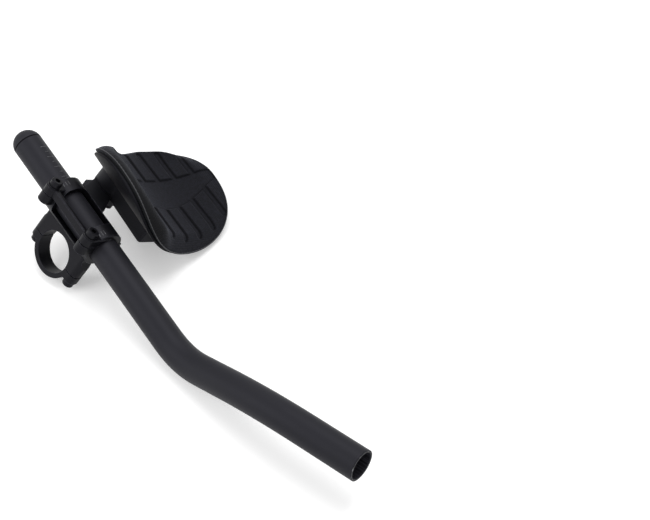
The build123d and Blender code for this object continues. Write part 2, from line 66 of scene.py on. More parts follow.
bl_info = {
    "name": "Aero Extension Looks",
    "version": (1, 0, 0),
    "blender": (4, 5, 0),
    "location": "View3D > Sidebar > Extension",
    "description": "Finishes, armrest pad, printed ticks and stage for a clip-on aero extension",
    "category": "Object",
}

MM = 0.001
BODY = "root"

# CAD nodes that share a finish
TUBE_NODES = ("extension_tube",)
PLUG_NODES = ("tube_end_plug",)
FORGED_NODES = ("clamp_body", "bar_clamp_cap", "extension_clamp_cap")
BRACKET_NODES = ("armrest_bracket", "armrest_rail")
STEEL_NODES = tuple(node for node in frame["nodes"] if node.endswith(("_bolts", "_washers")))
CUP_NODES = ("armrest_cup",)
STRIP_NODES = ("pad_hook_strips", "pad_loop_strips")

# Shader constants of the finishes
COOL_TINT = (0.88, 0.88, 1.0, 1.0)
KNIT_TINT = (0.75, 0.8, 1.0, 1.0)
SATIN = {"Specular_IOR_Level": 0.16, "Specular_Tint": COOL_TINT}
FORGED = {"Specular_IOR_Level": 0.14, "Specular_Tint": COOL_TINT}
MATT = {"Specular_IOR_Level": 0.15, "Specular_Tint": COOL_TINT}
MOULDED = {"Specular_IOR_Level": 0.08, "Specular_Tint": COOL_TINT}
TAPE = {"Specular_IOR_Level": 0.2, "Sheen_Weight": 0.3, "Sheen_Roughness": 0.5}
KNIT = {"Specular_IOR_Level": 0.18, "Sheen_Weight": 0.08, "Sheen_Roughness": 0.45, "Sheen_Tint": KNIT_TINT}
THREAD = {"Specular_IOR_Level": 0.35, "Sheen_Weight": 0.1}
INK = {"Specular_IOR_Level": 0.4}
EDGE_SAMPLES = 6

# Tube: depth and tones of the drawn bore behind the mouth, streaked and lightened there as painted light, and
# reach of the dark joint at the plug
BORE_DEPTH = 60 * MM
BORE_STREAK_AND_LIGHT_TONES = (0.8, 3.0)
JOINT_REACH = 0.4 * MM
JOINT_TONE = 0.1

# Pad: where its edge, rolls, crown and bolster change, across (arc) and along the trough
EDGE_CHANGE = (-20 * MM, 20 * MM)
REAR_ROLL_ALONG = (8 * MM, -28 * MM)
REAR_ROLL_ACROSS = (6 * MM, -18 * MM)
REAR_CROWN_PLACE = -42 * MM
REAR_CROWN_SPREAD = 14 * MM
REAR_CROWN_ALONG = (-18 * MM, -40 * MM)
BOLSTER_REAR = (7 * MM, 28 * MM)
BOLSTER_FRONT = (14 * MM, 40 * MM)
BOLSTER_TURN = (-30 * MM, 10 * MM)
BOLSTER_SPREAD = 3.6 * MM
BORDER_FADE = 0.6
ROLL_FULLNESS = 2.4
CHANNEL_MARGIN = 2 * MM
NEARLY_ZERO = 1e-6

# Pad: creases at the foot of the channel walls and beside the border, where the fabric is darkened as painted
# shade
WALL_FOOT = 0.45 * MM
WALL_CREASE = 0.7 * MM
CREASE_WIDTH = 1.3 * MM
CREASE_DEPTH = 0.5 * MM
BORDER_CREASE_SHADE = 0.35

# Pad: points along a side of its top, levels of its sewn edge, and underside rings as shares of the outline
PAD_GRID = 221
EDGE_LEVELS = (0.5, 0.0)
SEATED_RINGS = (0.93,)
RAISED_RINGS = (0.85, 0.6, 0.3)
RIM_STEPS = 360
PIPING_SIDES = 10

# Pad: cloth simulation of the cover, and the shares of press and height up to which it is held
CLOTH_GRID = 101
CLOTH_VOXEL = 3.5 * MM
CLOTH_PRESSURE = 4.0
CLOTH_FRAMES = 20
CLOTH_NEIGHBOURS = 8
HELD_PRESS = 0.3
HELD_HEIGHT = 0.6

# Printed ticks: points of an arc of ink, and straight pieces in the path of the index ticks
TICK_POINTS = 14
INDEX_PIECES = 8

# Camera: its axes in the part's frame, and the origin's place as the camera sees it, in metres
CAMERA_RIGHT = Vector((-0.5600, 0.5872, 0.5875))
CAMERA_DOWN = Vector((0.0953, 0.7490, -0.6561))
CAMERA_OFFSET = Vector((-0.1961, -0.0067, 0.9499))
SENSOR_WIDTH = 36
CLIP_START = 50 * MM

# Lights: metres to the right of the object, away from the camera and above the table
KEY_PLACE = (0.22, 0.4, 1.5)
FILL_PLACE = (-1.0, -0.3, 0.75)


def length(name, description, millimetres):
    """A length that a user may change, given in millimetres."""
    return FloatProperty(
        name=name, description=description, default=millimetres * MM, unit="LENGTH", precision=5
    )


def angle(name, description, degrees):
    """An angle that a user may change, given in degrees."""
    return FloatProperty(name=name, description=description, default=math.radians(degrees), subtype="ANGLE")


def colour(name, description, value):
    """A linear colour that a user may change."""
    return FloatVectorProperty(
        name=name, description=description, default=value, subtype="COLOR", min=0, max=1, size=3
    )


def share(name, description, value):
    """A share from 0 to 1 that a user may change."""
    return FloatProperty(name=name, description=description, default=value, min=0, max=1, subtype="FACTOR")


def power(name, description, watts):
    """A light's power that a user may change, in watts."""
    return FloatProperty(name=name, description=description, default=watts, unit="POWER")


def fullness(name, description, value):
    """How full a corner of the outline is: 2 for an ellipse, more for a squarer corner."""
    return FloatProperty(name=name, description=description, default=value)


class FinishSettings(bpy.types.PropertyGroup):
    """Colours and gloss of the rigid pieces."""

    tube_colour: colour("Tube", "Anodised black of the tube", (0.0104, 0.0104, 0.0132))
    tube_roughness: share("Tube roughness", "How matt the anodised tube is", 0.52)
    forged_colour: colour("Forgings", "Blasted black of the clamp and its caps", (0.0032, 0.0032, 0.0042))
    forged_roughness: share("Forging roughness", "How matt the blasted forgings are", 0.40)
    bracket_colour: colour("Bracket", "Matt black of the armrest bracket and rail", (0.0150, 0.0150, 0.0180))
    bracket_roughness: share("Bracket roughness", "How matt the bracket and rail are", 0.55)
    steel_colour: colour("Screws", "Black oxide of the screws and washers", (0.0040, 0.0040, 0.0052))
    steel_roughness: share("Screw roughness", "How matt the screws are", 0.34)
    plug_colour: colour("Plug", "Moulded black of the end plug", (0.0150, 0.0150, 0.0182))
    plug_roughness: share("Plug roughness", "How matt the plug is", 0.55)
    cup_colour: colour("Cup", "Moulded black of the armrest cup", (0.0036, 0.0036, 0.0047))
    cup_roughness: share("Cup roughness", "How matt the cup is", 0.55)
    strip_colour: colour("Hook and loop", "Black of the fastener strips", (0.0060, 0.0060, 0.0065))
    # Bare metal on the cut mouth, lighter also as a painted glint.
    bare_and_glint_colour: colour("Bare edge", "Bright metal where a cut edge shows", (0.22, 0.22, 0.23))
    print_colour: colour("Print", "Pale grey of the printed ticks", (0.16, 0.16, 0.17))


class ArmrestSettings(bpy.types.PropertyGroup):
    """Sizes and colours of the armrest pad."""

    centre: FloatVectorProperty(
        name="Centre",
        description="Lowest point of the cup's inner surface",
        default=(-57.8 * MM, 0.3 * MM, 48.5 * MM),
        subtype="TRANSLATION",
        unit="LENGTH",
    )
    roll: angle("Roll", "How far the inboard rim is rolled up", 2.8)
    toe_in: angle("Toe-in", "How far the front is turned inboard", 3.0)
    trough_radius: length("Trough radius", "Inner radius of the cup", 58)
    rim_arc: length("Rim arc", "Reach of the pad up the inboard wall, along the arc", 64)
    outer_arc: length("Outer arc", "Reach of the pad up the outboard wall, along the arc", 64.2)
    rim_front: length("Rim front", "Reach of the pad in front of the centre", 53)
    rim_rear: length("Rim rear", "Reach of the pad behind the centre", 49.5)
    rear_hollow: share("Rear hollow", "How much the rear edge is drawn in at the middle", 0.045)
    squareness: fullness("Squareness", "Fullness of the front inboard corner", 2.6)
    outer_squareness: fullness("Outer squareness", "Fullness of the front outboard corner", 2.55)
    outer_rear_squareness: fullness("Outer rear squareness", "Fullness of the rear outboard corner", 1.96)
    rear_squareness: fullness("Rear squareness", "Fullness of the rear inboard corner", 2.2)
    thickness: length("Thickness", "Pad thickness in the middle of the trough", 11.7)
    side_thickness: length("Side thickness", "Pad thickness under the roll of the side rims", 6)
    edge_thickness: length("Edge thickness", "Height of the sewn inboard edge above the cup", 0.9)
    outer_edge: length("Outer edge", "Height of the sewn outboard edge above the cup", 2.0)
    roll_width: length("Roll width", "Width of the gentle roll at the front and outboard", 11)
    rear_roll: length("Rear roll", "Width of the tighter roll at the rear, outboard", 5.5)
    rear_crown: length("Rear crown", "How far the rear edge stands up outboard of the middle", 3.5)
    bolster_roll: length("Bolster roll", "Width of the tight roll of the inboard bolster", 5)
    bolster_height: length("Bolster height", "How far the inboard bolster stands above the field", 1.5)
    border_width: length("Border width", "Width of the plain inboard border up to its crease", 11.5)
    seat_clearance: length("Seat clearance", "Gap between the pad's rim and the cup", 0.15)
    strip_room: length("Strip room", "Height left under the pad for the fastener strips", 2.15)
    channel_width: length("Channel width", "Width of a pressed channel", 4.4)
    channel_depth: length("Channel depth", "Depth of the channels and of the band", 1.2)
    channel_wall: length("Channel wall", "Width over which a channel's wall drops", 1.6)
    channel_pitch: length("Channel pitch", "Distance between channels", 14.65)
    channel_shift: length("Channel shift", "How far the row of channels sits inboard", 2.5)
    channel_slant: angle("Channel slant", "How far the channels lean outboard towards the front", 4)
    channels: IntProperty(name="Channels", description="Number of channels across the pad", default=7, min=1)
    channel_arc: length("Channel arc", "Half width of the field that the channel ends follow", 60)
    channel_front: length("Channel front", "Reach of the middle channel in front of the band", 44.5)
    channel_rear: length("Channel rear", "Reach of the middle channel behind the band", 44)
    band_forward: length("Band forward", "How far the plain band sits in front of the centre", 3.2)
    band_half_width: length("Band half width", "Half the greatest width of the plain band", 14.7)
    band_half_arc: length("Band half arc", "Half length of the plain band along the arc", 54)
    band_outer_arc: length("Band outer arc", "Half length of the band's flatter rear edge outboard", 80)
    swell_limit: length("Swell limit", "Most that the fabric may swell between the channels", 1.0)
    fabric_colour: colour("Fabric", "Bluish black of the knitted cover", (0.0029, 0.0030, 0.0050))
    thread_colour: colour("Thread", "Dark grey of the sewn edge", (0.036, 0.037, 0.042))
    piping_radius: length("Piping radius", "Radius of the sewn edge piping", 0.3)
    stitch_length: length("Stitch length", "Length of one stitch", 2.1)
    stitch_pitch: length("Stitch pitch", "Distance between stitches", 3.0)
    stitch_radius: length("Stitch radius", "Half thickness of the thread", 0.2)


class PrintSettings(bpy.types.PropertyGroup):
    """Sizes of the printed ticks."""

    scale_start: length("Scale start", "Distance of the first tick from the tube's rear end", 12)
    scale_length: length("Scale length", "Length of the scale along the tube", 30)
    major_pitch: length("Major pitch", "Distance between long ticks", 10)
    minor_pitch: length("Minor pitch", "Distance between short ticks", 5)
    scale_angle: angle("Scale angle", "Middle of the scale round the tube, from inboard upwards", 86)
    major_sweep: angle("Major sweep", "Angle covered by a long tick", 30)
    minor_sweep: angle("Minor sweep", "Angle covered by a short tick", 15)
    line_width: length("Line width", "Width of a printed line", 0.28)
    ink_height: length("Ink height", "Thickness of the ink above the surface", 0.03)
    index_angle: angle("Index angle", "Middle of the index ticks round the cap, from inboard upwards", 61)
    index_spread: angle("Index spread", "Angle from the first to the last index tick", 17)
    index_length: length("Index length", "Length of an index tick", 3.6)
    index_count: IntProperty(name="Index count", description="Index ticks on each cap band", default=3, min=2)


class StageSettings(bpy.types.PropertyGroup):
    """Camera, table and light."""

    lens: FloatProperty(name="Lens", description="Focal length on a 36 mm sensor, in mm", default=71.28)
    table_normal: FloatVectorProperty(
        name="Table normal",
        description="Upward direction of the table",
        default=(0.536, -0.291, 0.792),
        subtype="XYZ",
    )
    table_offset: length("Table offset", "Place of the table from the bore's centre along its normal", -19.9)
    table_size: length("Table size", "Side of the table", 2600)
    table_colour: colour("Table", "White of the table", (0.86, 0.86, 0.86))
    table_shade: share("Table shade", "Grey of the table under its glow, where it is seen", 0.74)
    table_glow: share("Table glow", "White added to the table where it is seen", 0.36)
    sky_strength: FloatProperty(name="Sky", description="Strength of the light from all round", default=0.64)
    key_power: power("Key light", "Power of the large soft light", 14)
    key_size: length("Key size", "Side of the large soft light", 1000)
    fill_power: power("Fill light", "Power of the low side light", 7)
    fill_size: length("Fill size", "Side of the low side light", 900)


class ExtensionSettings(bpy.types.PropertyGroup):
    """All settings of the extension."""

    finish: PointerProperty(type=FinishSettings)
    armrest: PointerProperty(type=ArmrestSettings)
    ink: PointerProperty(type=PrintSettings)
    stage: PointerProperty(type=StageSettings)


# Node trees


class Graph:
    """A node tree under construction."""

    def __init__(self, tree):
        self.tree = tree

    def node(self, kind, **values):
        """Adds a node and sets its properties."""
        made = self.tree.nodes.new(kind)
        for key, value in values.items():
            setattr(made, key, value)
        return made

    def link(self, source, target):
        """Joins an output to an input."""
        self.tree.links.new(source, target)

    def fill(self, socket, value):
        """Sets an input to a constant or joins it to an output."""
        if isinstance(value, bpy.types.NodeSocket):
            self.link(value, socket)
        else:
            socket.default_value = value


# Materials


class Shading(Graph):
    """A material under construction, with short calls for the nodes that the finishes share."""

    def __init__(self, name):
        self.material = bpy.data.materials.new(name)
        self.material.use_nodes = True
        super().__init__(self.material.node_tree)
        self.shader = next(node for node in self.tree.nodes if node.type == "BSDF_PRINCIPLED")
        self.object_coords = self.node("ShaderNodeTexCoord").outputs["Object"]

    def noise(self, scale, detail=2.0, stretch=(1, 1, 1), coords=None):
        """Noise of a given scale per metre, stretched along the axes."""
        mapping = self.node("ShaderNodeMapping")
        mapping.inputs["Scale"].default_value = stretch
        self.link(coords or self.object_coords, mapping.inputs["Vector"])
        texture = self.node("ShaderNodeTexNoise")
        texture.inputs["Scale"].default_value = scale
        texture.inputs["Detail"].default_value = detail
        self.link(mapping.outputs["Vector"], texture.inputs["Vector"])
        return texture.outputs["Fac"]

    def ramp(self, value, low, high, from_low=0.0, from_high=1.0):
        """Maps a value from one range to another, held at its ends."""
        mapped = self.node("ShaderNodeMapRange")
        self.fill(mapped.inputs["Value"], value)
        self.fill(mapped.inputs["From Min"], from_low)
        self.fill(mapped.inputs["From Max"], from_high)
        self.fill(mapped.inputs["To Min"], low)
        self.fill(mapped.inputs["To Max"], high)
        return mapped.outputs["Result"]

    def mask(self, value, start, end):
        """0 up to a start and 1 from an end on."""
        return self.ramp(value, 0.0, 1.0, start, end)

    def math(self, operation, first, second=0.0):
        """A sum, product or other operation on two values."""
        made = self.node("ShaderNodeMath", operation=operation)
        self.fill(made.inputs[0], first)
        self.fill(made.inputs[1], second)
        return made.outputs["Value"]

    def mix(self, factor, first, second):
        """Mixes two colours."""
        made = self.node("ShaderNodeMix", data_type="RGBA")
        self.fill(made.inputs["Factor"], factor)
        inputs = [socket for socket in made.inputs if socket.type == "RGBA"]
        self.fill(inputs[0], first)
        self.fill(inputs[1], second)
        return next(socket for socket in made.outputs if socket.type == "RGBA")

    def tones(self, factor, colour, low, high):
        """Mixes two tones of a colour."""
        return self.mix(factor, scaled(colour, low), scaled(colour, high))

    def overlay(self, base, mask, strength, colour):
        """Lays a colour over a base where a mask is 1, up to a strength."""
        return self.mix(self.math("MULTIPLY", mask, strength), base, colour)

    def vector(self, operation, first, second=None):
        """A vector operation: a number for a product or a length, otherwise a vector."""
        made = self.node("ShaderNodeVectorMath", operation=operation)
        self.fill(made.inputs[0], first)
        if second is not None:
            self.fill(made.inputs["Scale" if operation == "SCALE" else 1], second)
        return made.outputs["Value" if operation in ("DOT_PRODUCT", "LENGTH") else "Vector"]

    def place_y(self):
        """Place along the straight of the tube."""
        axes = self.node("ShaderNodeSeparateXYZ")
        self.link(self.object_coords, axes.inputs["Vector"])
        return axes.outputs["Y"]

    def bump(self, height, distance, strength=1.0, normal=None):
        """Bump from a height, in metres at full height."""
        made = self.node("ShaderNodeBump")
        made.inputs["Strength"].default_value = strength
        made.inputs["Distance"].default_value = distance
        self.link(height, made.inputs["Height"])
        if normal:
            self.link(normal, made.inputs["Normal"])
        return made.outputs["Normal"]

    def cavity(self, reach):
        """1 on open faces and outer edges, 0 deep in corners and gaps."""
        occlusion = self.node("ShaderNodeAmbientOcclusion", samples=EDGE_SAMPLES)
        occlusion.inputs["Distance"].default_value = reach
        return self.mask(occlusion.outputs["AO"], 0.45, 0.8)

    def soft_edges(self, radius):
        """Normal rounded over the edges, and a mask that is 1 on them."""
        bevel = self.node("ShaderNodeBevel", samples=EDGE_SAMPLES)
        bevel.inputs["Radius"].default_value = radius
        flat = self.node("ShaderNodeNewGeometry").outputs["True Normal"]
        aligned = self.vector("DOT_PRODUCT", bevel.outputs["Normal"], flat)
        return bevel.outputs["Normal"], self.ramp(aligned, 1.0, 0.0, 0.75, 0.985)

    def finish(self, base, roughness, normal=None, **constants):
        """Fills the shader's sockets."""
        self.fill(self.shader.inputs["Base Color"], base)
        self.fill(self.shader.inputs["Roughness"], roughness)
        if normal:
            self.link(normal, self.shader.inputs["Normal"])
        for key, value in constants.items():
            self.shader.inputs[key.replace("_", " ")].default_value = value
        return self.material


def rgba(value):
    """A colour with full opacity."""
    return (*value, 1.0)


def scaled(value, factor):
    """A colour made lighter or darker, with full opacity."""
    return tuple(min(1.0, part * factor) for part in value) + (1.0,)


def anodised_tube_finish(settings, mouth_point, mouth_axis, bore_radius, joint_y):
    """Satin black anodising, dark at the rear joint, with bare metal on the cut mouth that also paints a
    glint, and a drawn bore lightened as painted light.
    """
    shading = Shading("anodised_tube")
    grain = shading.noise(scale=2600, detail=3)
    cloud = shading.noise(scale=28, detail=3, stretch=(1, 0.35, 1))
    base = shading.tones(cloud, settings.tube_colour, 0.85, 1.2)
    offset = shading.vector("SUBTRACT", shading.object_coords, mouth_point)
    along = shading.vector("DOT_PRODUCT", offset, mouth_axis)
    cut = shading.mask(along, -0.12 * MM, -0.02 * MM)
    # Bare metal in spots on the cut mouth, lighter also as a painted glint.
    bare_and_glint_spots = shading.mask(shading.noise(scale=240, detail=2), 0.56, 0.68)
    base = shading.mix(shading.math("MULTIPLY", cut, bare_and_glint_spots), base, rgba(settings.bare_and_glint_colour))
    across = shading.vector("SUBTRACT", offset, shading.vector("SCALE", mouth_axis, along))
    radius = shading.vector("LENGTH", across)
    drawn = shading.mask(shading.noise(scale=1000, detail=2, coords=across), 0.35, 0.65)
    within = shading.ramp(radius, 1.0, 0.0, bore_radius, bore_radius + 0.2 * MM)
    behind = shading.mask(along, -BORE_DEPTH, -0.8 * BORE_DEPTH)
    # Painted light: the bore behind the mouth is lightened, with drawn streaks along it.
    streaks_and_light = shading.tones(drawn, settings.tube_colour, *BORE_STREAK_AND_LIGHT_TONES)
    base = shading.mix(shading.math("MULTIPLY", within, behind), base, streaks_and_light)
    seam = shading.ramp(shading.place_y(), 1.0, 0.0, joint_y + JOINT_REACH, joint_y + 1.5 * JOINT_REACH)
    base = shading.mix(seam, base, scaled(settings.tube_colour, JOINT_TONE))
    satin = shading.ramp(cloud, settings.tube_roughness - 0.04, settings.tube_roughness + 0.06)
    roughness = shading.math("MAXIMUM", satin, seam)
    normal, _ = shading.soft_edges(1.4 * MM)
    normal = shading.bump(grain, distance=0.012 * MM, strength=0.5, normal=normal)
    return shading.finish(base, roughness, normal, **SATIN)


def forged_finish(settings):
    """Blasted and anodised forging with softened edges, lighter there from wear and a painted highlight, and
    darker in its corners and gaps as painted shade.
    """
    shading = Shading("forged_clamp")
    blast = shading.noise(scale=3400, detail=3)
    cloud = shading.noise(scale=55, detail=3)
    normal, edge = shading.soft_edges(0.55 * MM)
    # Painted shade: a mask from ambient occlusion, 0 in corners and gaps, where the base is darkened.
    unshaded = shading.cavity(4 * MM)
    wear_and_highlight_patches = shading.ramp(shading.noise(scale=330, detail=3), 0.35, 1.0, from_low=0.36, from_high=0.58)
    lighter_patches = shading.math("MULTIPLY", shading.math("MULTIPLY", edge, wear_and_highlight_patches), unshaded)
    base = shading.tones(cloud, settings.forged_colour, 0.8, 1.25)
    # Painted shade darkens the corners and gaps; the edges are lightened by wear and a painted highlight.
    base = shading.mix(unshaded, scaled(settings.forged_colour, 0.7), base)
    base = shading.mix(lighter_patches, base, scaled(settings.forged_colour, 24.0))
    roughness = shading.ramp(cloud, settings.forged_roughness - 0.05, settings.forged_roughness + 0.06)
    normal = shading.bump(blast, distance=0.016 * MM, strength=0.6, normal=normal)
    return shading.finish(base, roughness, normal, **FORGED)


def bracket_finish(settings):
    """Matt powder coat on the bracket and the rail, with a faint orange peel."""
    shading = Shading("bracket_coat")
    peel = shading.noise(scale=900, detail=3)
    cloud = shading.noise(scale=60, detail=3)
    normal, edge = shading.soft_edges(0.5 * MM)
    base = shading.tones(cloud, settings.bracket_colour, 0.75, 1.3)
    # Painted highlight: the edges are lightened.
    base = shading.overlay(base, edge, 0.5, scaled(settings.bracket_colour, 2.5))
    roughness = shading.ramp(cloud, settings.bracket_roughness - 0.05, settings.bracket_roughness + 0.06)
    normal = shading.bump(peel, distance=0.02 * MM, strength=0.6, normal=normal)
    return shading.finish(base, roughness, normal, **MATT)


def black_steel_finish(settings):
    """Black oxide on steel, a little glossier than the forgings."""
    shading = Shading("black_steel")
    normal, edge = shading.soft_edges(0.25 * MM)
    smudge = shading.noise(scale=420, detail=3)
    base = shading.tones(smudge, settings.steel_colour, 0.8, 1.3)
    # Painted highlight: the edges are lightened.
    base = shading.overlay(base, edge, 0.5, scaled(settings.steel_colour, 3.0))
    roughness = shading.ramp(smudge, settings.steel_roughness - 0.06, settings.steel_roughness + 0.08)
    return shading.finish(base, roughness, normal, **FORGED)


def plug_finish(settings, joint_y):
    """Matt moulded plug with a dark parting line where it meets the tube."""
    shading = Shading("plug_plastic")
    grain = shading.noise(scale=1900, detail=2)
    from_joint = shading.math("ABSOLUTE", shading.math("SUBTRACT", shading.place_y(), joint_y))
    seam = shading.ramp(from_joint, 1.0, 0.0, JOINT_REACH, JOINT_REACH + 0.25 * MM)
    base = shading.tones(grain, settings.plug_colour, 0.85, 1.15)
    base = shading.mix(seam, base, scaled(settings.plug_colour, JOINT_TONE))
    roughness = shading.ramp(seam, settings.plug_roughness, 1.0)
    return shading.finish(base, roughness, shading.bump(grain, distance=0.02 * MM, strength=0.6), **SATIN)


def cup_finish(settings):
    """Moulded plastic with a fine spark-eroded grain and a smoother rim."""
    shading = Shading("cup_plastic")
    grain = shading.noise(scale=1500, detail=3)
    cloud = shading.noise(scale=45, detail=2)
    normal, edge = shading.soft_edges(0.5 * MM)
    base = shading.tones(cloud, settings.cup_colour, 0.85, 1.2)
    # Painted highlight: the rim and edges are lightened.
    base = shading.overlay(base, edge, 0.9, scaled(settings.cup_colour, 8.0))
    roughness = shading.ramp(edge, settings.cup_roughness, settings.cup_roughness - 0.1)
    normal = shading.bump(grain, distance=0.03 * MM, strength=0.6, normal=normal)
    return shading.finish(base, roughness, normal, **MOULDED)


def strip_finish(settings):
    """Hook-and-loop tape: a dense field of tiny loops."""
    shading = Shading("hook_loop")
    texture = shading.node("ShaderNodeTexVoronoi")
    texture.inputs["Scale"].default_value = 1400
    shading.link(shading.object_coords, texture.inputs["Vector"])
    loops = texture.outputs["Distance"]
    base = shading.tones(loops, settings.strip_colour, 1.6, 0.5)
    return shading.finish(base, 0.9, shading.bump(loops, distance=0.25 * MM, strength=0.8), **TAPE)


def knit_rows(shading, direction, scale):
    """Wavy rows of the knit across the pad's own flat map, so many per metre."""
    rows = shading.node("ShaderNodeTexWave", wave_type="BANDS", bands_direction=direction)
    rows.inputs["Scale"].default_value = scale
    rows.inputs["Distortion"].default_value = 2.2
    rows.inputs["Detail Scale"].default_value = 2.0
    shading.link(shading.node("ShaderNodeUVMap", uv_map="weave").outputs["UV"], rows.inputs["Vector"])
    return rows.outputs["Fac"]


def fabric_finish(settings):
    """Fine knitted cover: small interlocked rows, a soft sheen and faint lint, with painted shade in its
    creases and on the inboard border.
    """
    shading = Shading("pad_fabric")
    cover = settings.fabric_colour
    knit = shading.math("MULTIPLY", knit_rows(shading, "X", 210), knit_rows(shading, "Y", 290))
    wash = shading.ramp(shading.noise(scale=24, detail=3), 0.0, 0.5)
    fuzz = shading.ramp(shading.noise(scale=620, detail=4), 0.0, 0.75, from_low=0.44, from_high=0.6)
    lint = shading.ramp(shading.noise(scale=160, detail=4), 0.0, 0.25, from_low=0.6, from_high=0.8)
    border = shading.node("ShaderNodeAttribute", attribute_name="border").outputs["Fac"]
    crease_shade = shading.node("ShaderNodeAttribute", attribute_name="crease_shade").outputs["Fac"]
    base = shading.tones(knit, cover, 0.4, 1.9)
    for mask, tone in ((wash, 1.5), (fuzz, 2.3), (lint, 3.0)):
        base = shading.mix(mask, base, scaled(cover, tone))
    # Painted shade: the inboard border strip is darkened.
    base = shading.overlay(base, border, 0.95, scaled(cover, 0.15))
    # Painted shade: the fabric is darkened along the channel walls and the border's crease.
    base = shading.overlay(base, crease_shade, 0.75, scaled(cover, 0.1))
    roughness = shading.ramp(crease_shade, 0.82, 1.0)
    return shading.finish(base, roughness, shading.bump(knit, distance=0.22 * MM, strength=0.8), **KNIT)


def thread_finish(settings):
    """Twisted dark grey thread."""
    shading = Shading("edge_thread")
    twist = shading.noise(scale=2400, detail=2)
    base = shading.tones(twist, settings.thread_colour, 0.6, 1.4)
    return shading.finish(base, 0.6, shading.bump(twist, distance=0.05 * MM, strength=0.6), **THREAD)


def ink_finish(settings):
    """Pale ink, thin and partly rubbed through to the black."""
    shading = Shading("tick_ink")
    lighter_patches = shading.mask(shading.noise(scale=700, detail=3), 0.36, 0.62)
    return shading.finish(shading.tones(lighter_patches, settings.print_colour, 0.25, 1.0), 0.6, **INK)


def dress(nodes, material):
    """Gives CAD nodes their finish."""
    for node in nodes:
        slots = frame["nodes"][node].material_slots
        if not len(slots):
            frame["nodes"][node].data.materials.append(material)
        for slot in slots:
            slot.material = material


# Meshes


def add_piece(name, mesh, material):
    """Links a mesh as a piece that rides on the body and takes the finish it is given."""
    piece = bpy.data.objects.new(name, mesh)
    bpy.context.scene.collection.objects.link(piece)
    piece.data.materials.clear()
    piece.data.materials.append(material)
    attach(piece, BODY)
    return piece


def mesh_from(name, points, faces, smooth=True):
    """A mesh from points and faces."""
    mesh = bpy.data.meshes.new(name)
    mesh.from_pydata([tuple(point) for point in points], [], [tuple(face) for face in faces])
    mesh.update()
    if smooth:
        mesh.shade_smooth()
    return mesh


def smoothstep(low, high, value):
    """Smooth step from 0 at low to 1 at high."""
    t = np.clip((value - low) / (high - low), 0, 1)
    return t * t * (3 - 2 * t)


